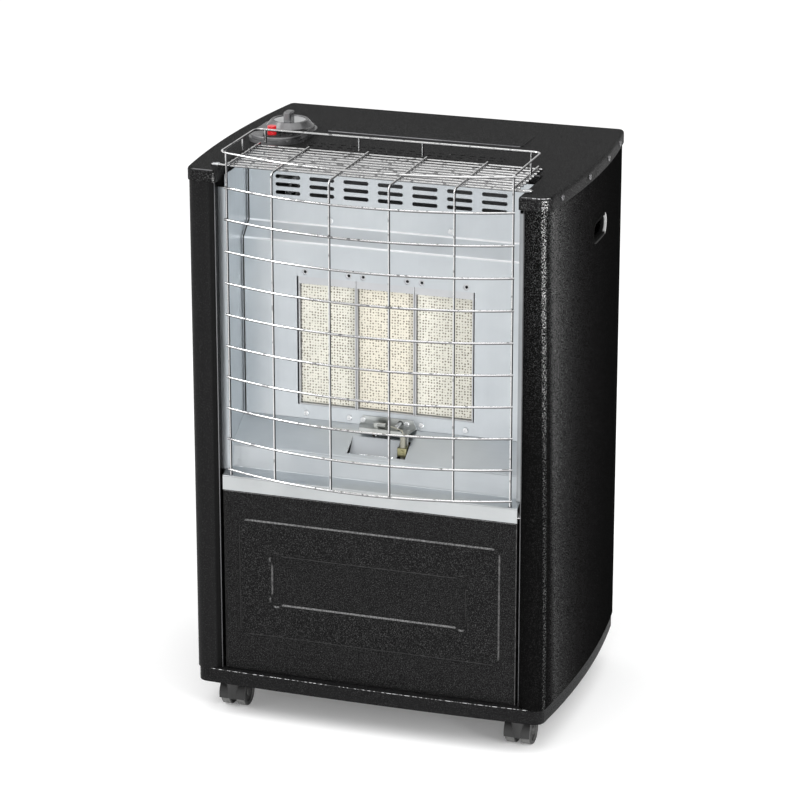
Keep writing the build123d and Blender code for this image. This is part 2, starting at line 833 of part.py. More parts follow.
# The heat shield parts the burners from the bottle bay and runs forward under them.
shield_depth = 144.0
shield_top = 605.0
shield_foot = 272.0
shield_front_depth = 13.0
shield_front_height = 247.0
shield_lip = 5.0
shield_clearance = 0.4
notch_right = -128.0
notch_bottom = 548.0
shield_path = [
    spot(shield_depth, shield_top),
    spot(shield_depth, shield_foot),
    spot(shield_front_depth, shield_front_height),
    spot(shield_front_depth, shield_front_height - shield_lip),
]

with BuildPart() as heat_shield:
    add(bent_sheet(shield_path, rear_half_width + 20, liner, bend=4))
    with BuildSketch(Plane.XY.offset(base_z)):
        add(cabinet_plan(-sheet - shield_clearance))
    extrude(amount=cabinet_height, mode=Mode.INTERSECT)
    notch_plane = Plane(origin=(0, at(shield_depth), base_z), x_dir=(1, 0, 0), z_dir=(0, -1, 0))
    with BuildSketch(notch_plane.offset(liner)):
        with Locations((notch_right, notch_bottom)):
            Rectangle(rear_half_width, cabinet_height, align=(Align.MAX, Align.MIN))
    extrude(amount=-3 * liner, mode=Mode.SUBTRACT)
save(heat_shield.part, "heat_shield")

bracket_width = 12.0
bracket_inset = 10.0
bracket_sheet = 1.2
with BuildPart() as manifold_brackets:
    rear_face = manifold_depth + manifold_height / 2
    for turn in (-1, 1):
        x = turn * (manifold_half_length - bracket_inset)
        with BuildSketch(Plane.XY.offset(up(manifold_top - bracket_sheet))):
            with Locations((x, at(rear_face))):
                Rectangle(bracket_width, shield_depth - rear_face, align=(Align.CENTER, Align.MIN))
        extrude(amount=bracket_sheet)
        with BuildSketch(Plane.XY.offset(up(manifold_top - bracket_sheet))):
            with Locations((x, at(shield_depth))):
                Rectangle(bracket_width, bracket_sheet, align=(Align.CENTER, Align.MAX))
        extrude(amount=bracket_width)
save(manifold_brackets.part, "manifold_brackets")

# Gas valve under the lid, below the knob.
valve_width = 44.0
valve_length = 34.0
valve_bottom = 560.0
valve_shoulder = 598.0
valve_neck_radius = 9.0
valve_neck_top = 611.0
plug_radius = 8.0
plug_bottom = 565.0
plug_top = 590.0
plug_socket_radius = 3.0
plug_socket_depth = 12.0
tang_radius = plug_socket_radius - running_fit
tang_reach = 6.0
bracket_thickness = 1.5
bracket_rear = 15.0  # beyond the valve's rear face
tang_flat = 1.9  # half width of the driving flats

with BuildPart() as gas_valve:
    valve_centre = (knob_x, at(knob_depth))
    with BuildSketch(Plane.XY.offset(up(valve_bottom))):
        with Locations(valve_centre):
            RectangleRounded(valve_width, valve_length, 4)
    extrude(amount=valve_shoulder - valve_bottom)
    with BuildSketch(Plane.XY.offset(up(valve_shoulder))):
        with Locations(valve_centre):
            Circle(valve_neck_radius)
    extrude(amount=valve_neck_top - valve_shoulder)
    with BuildSketch(Plane.XY.offset(up(plug_bottom - 0.1))):
        with Locations(valve_centre):
            Circle(plug_radius + running_fit)
    extrude(amount=plug_top + 6 - plug_bottom, mode=Mode.SUBTRACT)
    with BuildSketch(Plane.XY.offset(up(plug_top))):
        with Locations(valve_centre):
            Circle(spindle_radius + running_fit)
    extrude(amount=valve_neck_top - plug_top, mode=Mode.SUBTRACT)
save(gas_valve.part, "gas_valve")

with BuildPart() as valve_plug:
    with BuildSketch(Plane.XY.offset(up(plug_bottom))):
        with Locations(valve_centre):
            Circle(plug_radius)
    extrude(amount=plug_top - plug_bottom)
    with BuildSketch(Plane.XY.offset(up(plug_top - plug_socket_depth))):
        with Locations(valve_centre):
            Circle(plug_socket_radius)
            Rectangle(2 * plug_socket_radius, 2 * tang_flat, mode=Mode.INTERSECT)
    extrude(amount=plug_socket_depth, mode=Mode.SUBTRACT)
    with BuildSketch(Plane.YZ.offset(knob_x - plug_radius - 1)):
        with Locations((at(knob_depth), up(plug_bottom + 7))):
            Circle(2.4)
    extrude(amount=2 * plug_radius + 2, mode=Mode.SUBTRACT)
save(valve_plug.part, "valve_plug")

with BuildPart() as valve_bracket:
    bracket_top = cabinet_height - sheet
    bracket_length = valve_length + bracket_thickness + bracket_rear
    bracket_front = knob_depth - valve_length / 2 - bracket_thickness
    with BuildSketch(Plane.XY.offset(up(bracket_top - bracket_thickness))):
        with Locations((knob_x, at(bracket_front + bracket_length / 2))):
            RectangleRounded(valve_width, bracket_length, 3)
        with Locations(valve_centre):
            Circle(spindle_hole, mode=Mode.SUBTRACT)
    extrude(amount=bracket_thickness)
    leg_foot = valve_shoulder - 14
    for turn in (-1, 1):
        leg_shift = (valve_length + bracket_thickness) / 2
        with BuildSketch(Plane.XY.offset(up(leg_foot))):
            with Locations((knob_x, at(knob_depth) + turn * leg_shift)):
                Rectangle(valve_width / 2, bracket_thickness)
        extrude(amount=bracket_top - leg_foot - bracket_thickness / 2)
save(valve_bracket.part, "valve_bracket")


def tube(points, radius, bend):
    """A round tube or wire along straight runs joined by arcs."""
    bends = bend if isinstance(bend, list) else [bend] * (len(points) - 2)
    with BuildPart(mode=Mode.PRIVATE) as pipe:
        with BuildLine() as route:
            if bends:
                FilletPolyline(*points, radius=bends)
            else:
                Line(*points)
        path = route.wires()[0]
        with BuildSketch(Plane(origin=path @ 0, z_dir=path % 0)):
            Circle(radius)
        sweep(path=path)
    return pipe.part


def place(x, depth, height):
    """A point of the inside: x, depth behind the panel plane, height above the base."""
    return (x, at(depth), up(height))


valve_front = knob_depth - valve_length / 2
valve_rear = knob_depth + valve_length / 2
outlet_height = 574.0
outlet_left = knob_x - 9.0
outlet_right = knob_x + 9.0
side_feed_x = -52.0
side_feed_depth = 131.0
centre_feed = [
    place(outlet_left, valve_front, outlet_height),
    place(outlet_left, manifold_depth, outlet_height),
    place(outlet_left, manifold_depth, manifold_middle),
    place(-manifold_half_length, manifold_depth, manifold_middle),
]
side_feed = [
    place(outlet_right, valve_front, outlet_height),
    place(outlet_right, side_feed_depth, outlet_height),
    place(outlet_right + 8, side_feed_depth, manifold_middle),
    place(side_feed_x, side_feed_depth, manifold_middle),
    place(side_feed_x, rear_face, manifold_middle),
]
with BuildPart() as burner_pipes:
    add(tube(centre_feed, tube_radius, 15.0))
    add(tube(side_feed, tube_radius, [12.0, 15.0, 12.0]))
save(burner_pipes.part, "burner_pipes")

nozzle_x = -165.0
nozzle_depth = 227.0
nozzle_top = 520.0
nozzle_length = 34.0
nozzle_radius = 4.75
supply_route = [
    place(knob_x, valve_rear, outlet_height - 8),
    place(knob_x, nozzle_depth, outlet_height - 8),
    place(nozzle_x, nozzle_depth, outlet_height - 36),
    place(nozzle_x, nozzle_depth, nozzle_top),
]
with BuildPart() as supply_pipe:
    add(tube(supply_route, supply_radius, [16.0, 16.0]))
save(supply_pipe.part, "supply_pipe")

groove_count = 3
groove_pitch = 3.6
groove_depth = 0.5
nut_height = 9.0
nozzle_bore = 2.5
with BuildPart() as hose_nozzle:
    centre = (nozzle_x, at(nozzle_depth))
    with BuildSketch(Plane.XY.offset(up(nozzle_top))):
        with Locations(centre):
            RegularPolygon(9, 6)
    extrude(amount=-nut_height)
    with BuildSketch(Plane.XY.offset(up(nozzle_top - nut_height))):
        with Locations(centre):
            Circle(nozzle_radius)
    extrude(amount=nut_height - nozzle_length)
    for number in range(groove_count):
        groove_top = nozzle_top - nut_height - 1.5 - number * groove_pitch
        with BuildSketch(Plane.XY.offset(up(groove_top))):
            with Locations(centre):
                Circle(nozzle_radius + 1)
                Circle(nozzle_radius - groove_depth, mode=Mode.SUBTRACT)
        extrude(amount=-1.2, mode=Mode.SUBTRACT)
    with BuildSketch(Plane.XY.offset(up(nozzle_top))):
        with Locations(centre):
            Circle(nozzle_bore)
    extrude(amount=-nozzle_length, mode=Mode.SUBTRACT)
save(hose_nozzle.part, "hose_nozzle")

# Pilot assembly at the foot of the burner wall.
pilot_plate_left = -31.0
pilot_plate_right = 38.0
pilot_plate_top = 327.0
pilot_shelf_height = 316.3
pilot_shelf_front = 45.0
pilot_shelf_lip = 6.5
leg_left = 25.0
leg_right = 34.5
leg_depth = 41.0
pilot_leg_foot = 290.0
plate = 1.0
electrode_x = 29.5
electrode_depth = 36.5
electrode_radius = 3.0
electrode_foot = 283.0
electrode_top = 315.0
spark_radius = 0.8
flame_x = 8.0
pilot_head_radius = 3.6
pilot_head_top = 323.5

with BuildPart() as pilot_bracket:
    with BuildSketch(screw_plane):
        with BuildLine():
            Polyline(
                (pilot_plate_left, pilot_shelf_height),
                (pilot_plate_left + 4, pilot_plate_top),
                (pilot_plate_right - 4, pilot_plate_top),
                (pilot_plate_right, pilot_shelf_height),
                close=True,
            )
        make_face()
        for x in burner_screw_spots:
            with Locations((x, burner_screw_height)):
                Circle(screw_hole, mode=Mode.SUBTRACT)
        with Locations((thermocouple_x, thermocouple_height)):
            Circle(thermocouple_hole, mode=Mode.SUBTRACT)
    extrude(amount=plate)
    with BuildSketch(Plane.XY.offset(up(pilot_shelf_height))):
        with BuildLine():
            Polyline(
                (pilot_plate_left, at(burner_wall_depth)),
                (pilot_plate_left + 5, at(pilot_shelf_front)),
                (pilot_plate_right - 3, at(pilot_shelf_front)),
                (pilot_plate_right, at(burner_wall_depth)),
                close=True,
            )
        make_face()
        with Locations((pilot_x, at(pilot_depth))):
            Circle(pilot_head_radius + 0.1, mode=Mode.SUBTRACT)
    extrude(amount=plate)
    with BuildSketch(Plane.XY.offset(up(pilot_shelf_height + plate))):
        with Locations((pilot_plate_left + 5, at(pilot_shelf_front))):
            pilot_shelf_length = pilot_plate_right - pilot_plate_left - 8
            Rectangle(pilot_shelf_length, plate, align=(Align.MIN, Align.MIN))
    extrude(amount=-pilot_shelf_lip)
    with BuildSketch(Plane.XY.offset(up(pilot_shelf_height + plate))):
        with Locations((leg_left, at(leg_depth))):
            leg_span = pilot_shelf_front - leg_depth + plate
            Rectangle(leg_right - leg_left, leg_span, align=(Align.MIN, Align.MIN))
    extrude(amount=-plate)
    with BuildSketch(Plane.XY.offset(up(pilot_shelf_height + plate))):
        with Locations((leg_left, at(leg_depth))):
            Rectangle(leg_right - leg_left, plate, align=(Align.MIN, Align.MIN))
    extrude(amount=pilot_leg_foot - pilot_shelf_height - plate)
save(pilot_bracket.part, "pilot_bracket")

with BuildPart() as pilot_burner:
    with BuildSketch(Plane.XY.offset(up(pilot_shelf_height - 4))):
        with Locations((pilot_x, at(pilot_depth))):
            Circle(pilot_head_radius)
    extrude(amount=pilot_head_top - pilot_shelf_height + 4)
    with BuildSketch(Plane.YZ.offset(pilot_x)):
        with Locations((at(pilot_depth), up(pilot_head_top - 3))):
            Circle(pilot_head_radius - 0.8)
    extrude(amount=flame_x - pilot_x - 4)
    with BuildSketch(Plane.YZ.offset(pilot_x)):
        with Locations((at(pilot_depth), up(pilot_head_top - 3))):
            Circle(pilot_head_radius - 1.8)
    extrude(amount=flame_x - pilot_x, mode=Mode.SUBTRACT)
save(pilot_burner.part, "pilot_burner")

pilot_route = [
    place(outlet_left - 7, valve_front, outlet_height - 8),
    place(outlet_left - 7, manifold_depth - 11, outlet_height - 8),
    place(outlet_left - 7, manifold_depth - 23, manifold_middle - 4),
    place(side_feed_x - 8, manifold_depth - 27, manifold_middle - 9),
    place(pilot_x, pilot_depth, manifold_middle - 6),
    place(pilot_x, pilot_depth, pilot_shelf_height - 4),
]
with BuildPart() as pilot_pipe:
    add(tube(pilot_route, pilot_tube_radius, [12.0, 14.0, 12.0, 10.0]))
save(pilot_pipe.part, "pilot_pipe")

couple_radius = 2.4
couple_lead_radius = 1.3
couple_tip = 47.0
couple_end = 74.0
lead_row = manifold_depth - 19.0  # the leads pass in front of the manifold
lead_turn = manifold_half_length + 26.0
couple_route = [
    place(thermocouple_x, couple_end, thermocouple_height),
    place(thermocouple_x, lead_row, thermocouple_height - 3),
    place(thermocouple_x - 20, lead_row, manifold_top + 5),
    place(-lead_turn, lead_row + 2, manifold_top - 4),
    place(outlet_right + 7, lead_row + 4, manifold_top + 15),
    place(outlet_right + 8, lead_row + 10, outlet_height - 8),
    place(outlet_right + 8, valve_front, outlet_height - 8),
]
with BuildPart() as thermocouple:
    with BuildSketch(screw_plane.offset(burner_wall_depth - couple_tip)):
        with Locations((thermocouple_x, thermocouple_height)):
            Circle(couple_radius)
    extrude(amount=couple_tip - couple_end)
    add(tube(couple_route, couple_lead_radius, [5.0, 8.0, 12.0, 12.0, 14.0]))
save(thermocouple.part, "thermocouple")

with BuildPart() as spark_electrode:
    electrode_centre = (electrode_x, at(electrode_depth))
    with BuildSketch(Plane.XY.offset(up(electrode_foot))):
        with Locations(electrode_centre):
            Circle(electrode_radius)
    extrude(amount=electrode_top - electrode_foot)
    wire = [
        place(electrode_x, electrode_depth, electrode_top),
        place(electrode_x, electrode_depth, electrode_top + 7),
        place(flame_x + 3, pilot_depth - 3, electrode_top + 6),
    ]
    add(tube(wire, spark_radius, [3.0]))
save(spark_electrode.part, "spark_electrode")

clamp_bottom = 292.0
clamp_height = 10.0
clamp_wall = 1.4
with BuildPart() as electrode_clamp:
    clamp_front = electrode_depth - electrode_radius - clamp_wall
    with BuildSketch(Plane.XY.offset(up(clamp_bottom))):
        with Locations((electrode_x, at(clamp_front))):
            clamp_width = 2 * (electrode_radius + clamp_wall) + 2
            clamp_length = leg_depth - clamp_front
            RectangleRounded(clamp_width, clamp_length, 0.8, align=(Align.CENTER, Align.MIN))
        with Locations(electrode_centre):
            Circle(electrode_radius, mode=Mode.SUBTRACT)
    extrude(amount=clamp_height)
    clamp_plane = Plane(
        origin=(electrode_x, at(clamp_front), up(clamp_bottom + clamp_height / 2)),
        x_dir=(1, 0, 0),
        z_dir=(0, -1, 0),
    )
    with BuildSketch(clamp_plane):
        Circle(2.6)
    extrude(amount=1.2)
    with BuildSketch(clamp_plane.offset(1.2)):
        Rectangle(4.2, 0.7)
    extrude(amount=-0.7, mode=Mode.SUBTRACT)
save(electrode_clamp.part, "electrode_clamp")

# ---------------------------------------------------------------- controls
plinth_corner = 30.0
plinth_step = 3.0
plinth_wall = 2.0
plinth_top = cabinet_height + plinth_height
piezo_flange_radius = 10.5
piezo_flange = 1.0
piezo_bottom = 588.0
piezo_nut_radius = 11.5
piezo_nut_height = 4.0
button_top = plinth_top + button_rise
button_foot = 612.0
button_bore_foot = button_foot - button_travel - 1

with BuildPart() as control_plinth:
    with BuildSketch(Plane.XY.offset(up(cabinet_height))):
        with Locations((plinth_x, at(plinth_depth))):
            RectangleRounded(plinth_width, plinth_length, plinth_corner)
    extrude(amount=plinth_height / 2)
    with BuildSketch(Plane.XY.offset(up(cabinet_height))):
        with Locations((plinth_x, at(plinth_depth))):
            RectangleRounded(
                plinth_width - 2 * plinth_step,
                plinth_length - 2 * plinth_step,
                plinth_corner - plinth_step,
            )
    extrude(amount=plinth_height)
    fillet(control_plinth.faces().sort_by(Axis.Z)[-1].edges(), 1.6)
    with BuildSketch(Plane.XY.offset(up(cabinet_height))):
        with Locations((plinth_x, at(plinth_depth))):
            RectangleRounded(
                plinth_width - 2 * plinth_step - 2 * plinth_wall,
                plinth_length - 2 * plinth_step - 2 * plinth_wall,
                plinth_corner - plinth_step - plinth_wall,
            )
        with Locations((button_x, at(button_depth))):
            Circle(piezo_radius + 2.5, mode=Mode.SUBTRACT)
    extrude(amount=plinth_height - plinth_wall, mode=Mode.SUBTRACT)
    with BuildSketch(Plane.XY.offset(up(cabinet_height))):
        with Locations(valve_centre):
            Circle(spindle_hole)
        with Locations((button_x, at(button_depth))):
            Circle(piezo_hole)
    extrude(amount=plinth_height, mode=Mode.SUBTRACT)
save(control_plinth.part, "control_plinth")

with BuildPart() as piezo_body:
    with BuildSketch(Plane.XY.offset(up(piezo_bottom))):
        with Locations((button_x, at(button_depth))):
            Circle(piezo_radius)
    extrude(amount=plinth_top - piezo_bottom)
    with BuildSketch(Plane.XY.offset(up(plinth_top))):
        with Locations((button_x, at(button_depth))):
            Circle(piezo_flange_radius)
    extrude(amount=piezo_flange)
    with BuildSketch(Plane.XY.offset(up(button_bore_foot))):
        with Locations((button_x, at(button_depth))):
            Circle(button_radius + running_fit)
    extrude(amount=button_top - button_bore_foot, mode=Mode.SUBTRACT)
save(piezo_body.part, "piezo_body")

with BuildPart() as piezo_nut:
    with BuildSketch(Plane.XY.offset(up(cabinet_height - sheet))):
        with Locations((button_x, at(button_depth))):
            RegularPolygon(piezo_nut_radius, 6)
            Circle(piezo_radius, mode=Mode.SUBTRACT)
    extrude(amount=-piezo_nut_height)
save(piezo_nut.part, "piezo_nut")

with BuildPart() as piezo_button:
    with BuildSketch(Plane.XY.offset(up(button_foot))):
        with Locations((button_x, at(button_depth))):
            Circle(button_radius)
    extrude(amount=button_top - button_foot)
    fillet(piezo_button.faces().sort_by(Axis.Z)[-1].edges(), 0.8)
save(piezo_button.part, "piezo_button")

knob_foot = plinth_top + knob_gap
knob_face = knob_foot + knob_skirt
knob_wall = 2.0
dish_radius = 18.5
dish_depth = 1.6
fin_corner = 3.0
fin_centre = (knob_x, at(knob_depth - fin_shift))
insert_thickness = 1.0
hub_radius = 7.0
spindle_top = knob_face + 5.0

with BuildPart() as control_knob:
    with BuildSketch(Plane.XY.offset(up(knob_foot))):
        with Locations(valve_centre):
            Circle(knob_radius)
    with BuildSketch(Plane.XY.offset(up(knob_face))):
        with Locations(valve_centre):
            Circle(knob_top_radius)
    loft()
    with BuildSketch(Plane.XY.offset(up(knob_face))):
        with Locations(valve_centre):
            Circle(dish_radius)
    extrude(amount=-dish_depth, mode=Mode.SUBTRACT)
    with BuildSketch(Plane.XY.offset(up(knob_foot))):
        with Locations(valve_centre):
            Circle(knob_radius - 2 * knob_wall - 1)
            Circle(hub_radius, mode=Mode.SUBTRACT)
    extrude(amount=knob_skirt - dish_depth - knob_wall, mode=Mode.SUBTRACT)
    with BuildSketch(Plane.XY.offset(up(knob_face - dish_depth))):
        with Locations(fin_centre):
            RectangleRounded(fin_width, fin_length, fin_corner)
    extrude(amount=fin_height + dish_depth)
    fin_top = control_knob.faces().sort_by(Axis.Z)[-1]
    fillet(fin_top.edges(), 1.6)
    with BuildSketch(Plane.XY.offset(up(knob_foot))):
        with Locations(valve_centre):
            Circle(spindle_radius)
    extrude(amount=spindle_top - knob_foot, mode=Mode.SUBTRACT)
save(control_knob.part, "control_knob")

with BuildPart() as knob_insert:
    with BuildSketch(Plane.XY.offset(up(knob_face - dish_depth))):
        with Locations(valve_centre):
            Circle(dish_radius)
        with Locations(fin_centre):
            RectangleRounded(fin_width, fin_length, fin_corner, mode=Mode.SUBTRACT)
    extrude(amount=insert_thickness)
save(knob_insert.part, "knob_insert")

spindle_foot = plug_top + 6.0
tang_clearance = 0.05
with BuildPart() as valve_spindle:
    with BuildSketch(Plane.XY.offset(up(spindle_foot))):
        with Locations(valve_centre):
            Circle(spindle_radius)
    extrude(amount=spindle_top - spindle_foot)
    with BuildSketch(Plane.XY.offset(up(plug_top - tang_reach))):
        with Locations(valve_centre):
            Circle(tang_radius)
            Rectangle(2 * tang_radius, 2 * (tang_flat - tang_clearance), mode=Mode.INTERSECT)
    extrude(amount=spindle_foot - plug_top + tang_reach)
save(valve_spindle.part, "valve_spindle")

lead_radius = 1.3
lead_route = [
    place(button_x + 6.5, button_depth, piezo_bottom),
    place(button_x + 6.5, button_depth, piezo_bottom - 22),
    place(button_x + 10, manifold_depth - 10, shield_foot + 3),
    place(-lead_turn, manifold_depth - 37, shield_foot - 4),
    place(electrode_x, electrode_depth, shield_foot - 10),
    place(electrode_x, electrode_depth, electrode_foot),
]
with BuildPart() as ignition_lead:
    add(tube(lead_route, lead_radius, [8.0, 14.0, 14.0, 8.0]))
save(ignition_lead.part, "ignition_lead")

# ---------------------------------------------------------------- wire guard
shelf_wire_height = cabinet_height + wire_radius + 0.03
cross_wire_height = shelf_wire_height + weld_step
side_wire_height = cross_wire_height
rail_centre = cabinet_height + rail_height


def bowed_wire(height):
    """One wire that bows forward from side to side."""
    ends = [place(turn * guard_half_width, guard_side_depth, height) for turn in (-1, 1)]
    middle = place(0, guard_side_depth - guard_bow, height)
    with BuildPart(mode=Mode.PRIVATE) as wire:
        with BuildLine() as route:
            ThreePointArc(ends[0], middle, ends[1])
        path = route.wires()[0]
        with BuildSketch(Plane(origin=path @ 0, z_dir=path % 0)):
            Circle(wire_radius)
        sweep(path=path)
    return wire.part


butt_length = 1.0
butt_gap = 0.02
guard_wires = []
for row in range(guard_rows):
    guard_wires.append(bowed_wire(guard_bottom_row + row * guard_row_pitch))
guard_wires.append(bowed_wire(rail_centre - 2 * wire_radius - 0.03))
for share in guard_upright_share:
    x, depth = guard_spot(share * guard_half_width, weld_step)
    upright = [
        place(x, depth, guard_bottom_row - 2),
        place(x, depth, cross_wire_height),
        place(x, depth + upright_bend + butt_length, cross_wire_height),
    ]
    guard_wires.append(tube(upright, wire_radius, upright_bend))
for turn in (-1, 1):
    x, depth = guard_spot(turn * guard_side_upright, weld_step)
    side_upright = [
        place(x, depth, guard_bottom_row - guard_hook),
        place(x, depth, rail_centre - wire_radius - 0.03),
    ]
    guard_wires.append(tube(side_upright, wire_radius, []))
with BuildPart() as wire_guard:
    add(guard_wires)
save(wire_guard.part, "wire_guard")

rail_front = guard_side_depth - 4
post_depth = 62.0
rear_post_share = (-0.93, -0.265, 0.18, 0.93)
post_spots = [
    (-guard_half_width, post_depth),
    (guard_half_width, post_depth),
    *[(share * guard_half_width, shelf_depth) for share in rear_post_share],
]
shelf_pitch = (shelf_depth - shelf_front) / (shelf_wire_count - 1)
rail_loop = [
    place(-guard_half_width, rail_front, rail_centre),
    place(-guard_half_width, shelf_depth, rail_centre),
    place(guard_half_width, shelf_depth, rail_centre),
    place(guard_half_width, rail_front, rail_centre),
]
rail_wires = [tube(rail_loop, wire_radius, rail_bend)]
for x, depth in post_spots:
    post = [
        place(x, depth, side_wire_height + wire_radius + butt_gap),
        place(x, depth, rail_centre),
    ]
    rail_wires.append(tube(post, wire_radius - 0.05, []))
with BuildPart() as shelf_rail:
    add(rail_wires)
save(shelf_rail.part, "shelf_rail")

mount_wire = [
    place(turn * mount_wire_reach, mount_wire_depth, shelf_wire_height) for turn in (-1, 1)
]
shelf_wires = [tube(mount_wire, wire_radius, [])]
for number in range(shelf_wire_count):
    depth = shelf_front + number * shelf_pitch
    ends = [place(turn * (shelf_half_width + 5), depth, shelf_wire_height) for turn in (-1, 1)]
    shelf_wires.append(tube(ends, wire_radius, []))
for turn in (-1, 1):
    x = turn * shelf_half_width
    ends = [
        place(x, mount_wire_depth - 3, side_wire_height),
        place(x, shelf_depth + 2, side_wire_height),
    ]
    shelf_wires.append(tube(ends, wire_radius, []))
for share in guard_upright_share:
    x, depth = guard_spot(share * guard_half_width, weld_step)
    cross_wire = [
        place(x, depth + upright_bend + butt_length + butt_gap, cross_wire_height),
        place(x, shelf_depth + 2, cross_wire_height),
    ]
    shelf_wires.append(tube(cross_wire, wire_radius, []))
with BuildPart() as wire_shelf:
    add(shelf_wires)
save(wire_shelf.part, "wire_shelf")

clip_width = 6.0
clip_x = 182.5
clip_sheet = 0.8
clip_bore = wire_radius + 0.03
clip_reach = 9.0
clip_below_width = 30.0
clip_below_height = 10.0
clip_rivet_reach = 5.8
clip_rivet_radius = 2.4
clip_rivet_height = 1.2
with BuildPart() as guard_clips:
    for turn in (-1, 1):
        with BuildSketch(SIDE_PLANE.offset(turn * clip_x)):
            with Locations(spot(mount_wire_depth, shelf_wire_height)):
                Circle(clip_bore + clip_sheet)
            with Locations(spot(mount_wire_depth, cabinet_height)):
                Rectangle(clip_reach, clip_sheet, align=(Align.MIN, Align.MIN))
            with Locations(spot(mount_wire_depth, shelf_wire_height)):
                Circle(clip_bore, mode=Mode.SUBTRACT)
                foot_align = (Align.CENTER, Align.MAX)
                Rectangle(2 * clip_bore, 2 * clip_bore, align=foot_align, mode=Mode.SUBTRACT)
            with Locations(spot(mount_wire_depth, cabinet_height)):
                Rectangle(
                    clip_below_width, clip_below_height, align=foot_align, mode=Mode.SUBTRACT
                )
        extrude(amount=clip_width / 2, both=True)
        with BuildSketch(Plane.XY.offset(up(cabinet_height + clip_sheet))):
            with Locations((turn * clip_x, at(mount_wire_depth + clip_rivet_reach))):
                Circle(clip_rivet_radius)
        extrude(amount=clip_rivet_height)
save(guard_clips.part, "guard_clips")

# ---------------------------------------------------------------- rear
cover_top = cabinet_height - lid_skirt - cover_top_gap
cover_front = cabinet_depth + cover_clearance
cover_middle = (cover_bottom + cover_top) / 2
pivot_depth = cabinet_depth - hinge_inset
pivot_height = cover_bottom - hinge_drop
ear_inner = 183.5
ear_thickness = 2.0
ear_radius = 5.5
bracket_inner = 191.5
hinge_bracket_sheet = 2.0
louvre_columns = 3
louvre_rows = 7
louvre_width = 84.0
louvre_height = 5.0
louvre_pitch = 14.0
louvre_block = 125.0  # from the cover's middle to each block of louvres

with BuildPart() as rear_cover:
    cover_plane = Plane(
        origin=(0, at(cover_front), up(cover_middle)), x_dir=(1, 0, 0), z_dir=(0, 1, 0)
    )
    with BuildSketch(cover_plane):
        RectangleRounded(2 * cover_half_width, cover_top - cover_bottom, 5)
    extrude(amount=cover_pan)
    fillet(rear_cover.faces().sort_by(Axis.Y)[-1].outer_wire().edges(), 2.0)
    offset(amount=-sheet, openings=rear_cover.faces().sort_by(Axis.Y)[0])
    for block in (-1, 1):
        with BuildSketch(cover_plane):
            with Locations((0, block * louvre_block)):
                with GridLocations(louvre_width + 26, louvre_pitch, louvre_columns, louvre_rows):
                    SlotOverall(louvre_width, louvre_height)
        extrude(amount=cover_pan, mode=Mode.SUBTRACT)
    for turn in (-1, 1):
        with BuildSketch(SIDE_PLANE.offset(turn * (ear_inner + ear_thickness / 2))):
            with BuildLine():
                Polyline(
                    spot(pivot_depth - ear_radius + 1, pivot_height + 2),
                    spot(pivot_depth - ear_radius + 1, pivot_height + 11),
                    spot(cover_front + cover_pan - sheet, cover_bottom + 24),
                    spot(cover_front + cover_pan - sheet, cover_bottom + 0.5),
                    spot(pivot_depth + ear_radius - 1, pivot_height + 0.5),
                    close=True,
                )
            make_face()
            with Locations(spot(pivot_depth, pivot_height)):
                Circle(ear_radius)
        extrude(amount=ear_thickness / 2, both=True)
        for reach, radius in ((bracket_inner - 0.4, 4.0), (bracket_inner + 4, hinge_pin_radius)):
            with BuildSketch(SIDE_PLANE.offset(turn * (ear_inner + ear_thickness / 2))):
                with Locations(spot(pivot_depth, pivot_height)):
                    Circle(radius)
            extrude(amount=turn * (reach - ear_inner - ear_thickness / 2))
save(rear_cover.part, "rear_cover")

hinge_bracket_foot = 8.5
hinge_bracket_drop = 8.0  # below the pivot
hinge_bracket_height = 18.0
hinge_bracket_nose = 10.0  # beyond the pivot

with BuildPart() as hinge_brackets:
    for turn in (-1, 1):
        with BuildSketch(SIDE_PLANE.offset(turn * bracket_inner)):
            bracket_length = hinge_inset + hinge_bracket_nose
            with Locations(spot(cabinet_depth - sheet, pivot_height - hinge_bracket_drop)):
                Rectangle(bracket_length, hinge_bracket_height, align=(Align.MAX, Align.MIN))
            with Locations(spot(pivot_depth, pivot_height)):
                Circle(hinge_pin_radius + hinge_clearance, mode=Mode.SUBTRACT)
                notch = 2 * (hinge_pin_radius + hinge_clearance)
                notch_align = (Align.CENTER, Align.MIN)
                Rectangle(notch, hinge_bracket_height, align=notch_align, mode=Mode.SUBTRACT)
        extrude(amount=turn * hinge_bracket_sheet)
        with BuildSketch(Plane.XY.offset(up(pivot_height - hinge_bracket_drop))):
            with Locations((turn * bracket_inner, at(cabinet_depth - sheet))):
                foot_align = (Align.MIN if turn > 0 else Align.MAX, Align.MAX)
                Rectangle(hinge_bracket_foot, hinge_bracket_sheet, align=foot_align)
        extrude(amount=hinge_bracket_height)
save(hinge_brackets.part, "hinge_brackets")

rail_bottom = 562.0
rail_top = 606.0
rail_shelf = 14.0
grommet_radius = 6.0
grommet_neck = 4.6
stud_clearance = 0.3
stud_spots = [(-stud_half_span, stud_height), (stud_half_span, stud_height)]
rail_plane = Plane(
    origin=(0, at(cabinet_depth - sheet), base_z), x_dir=(1, 0, 0), z_dir=(0, -1, 0)
)

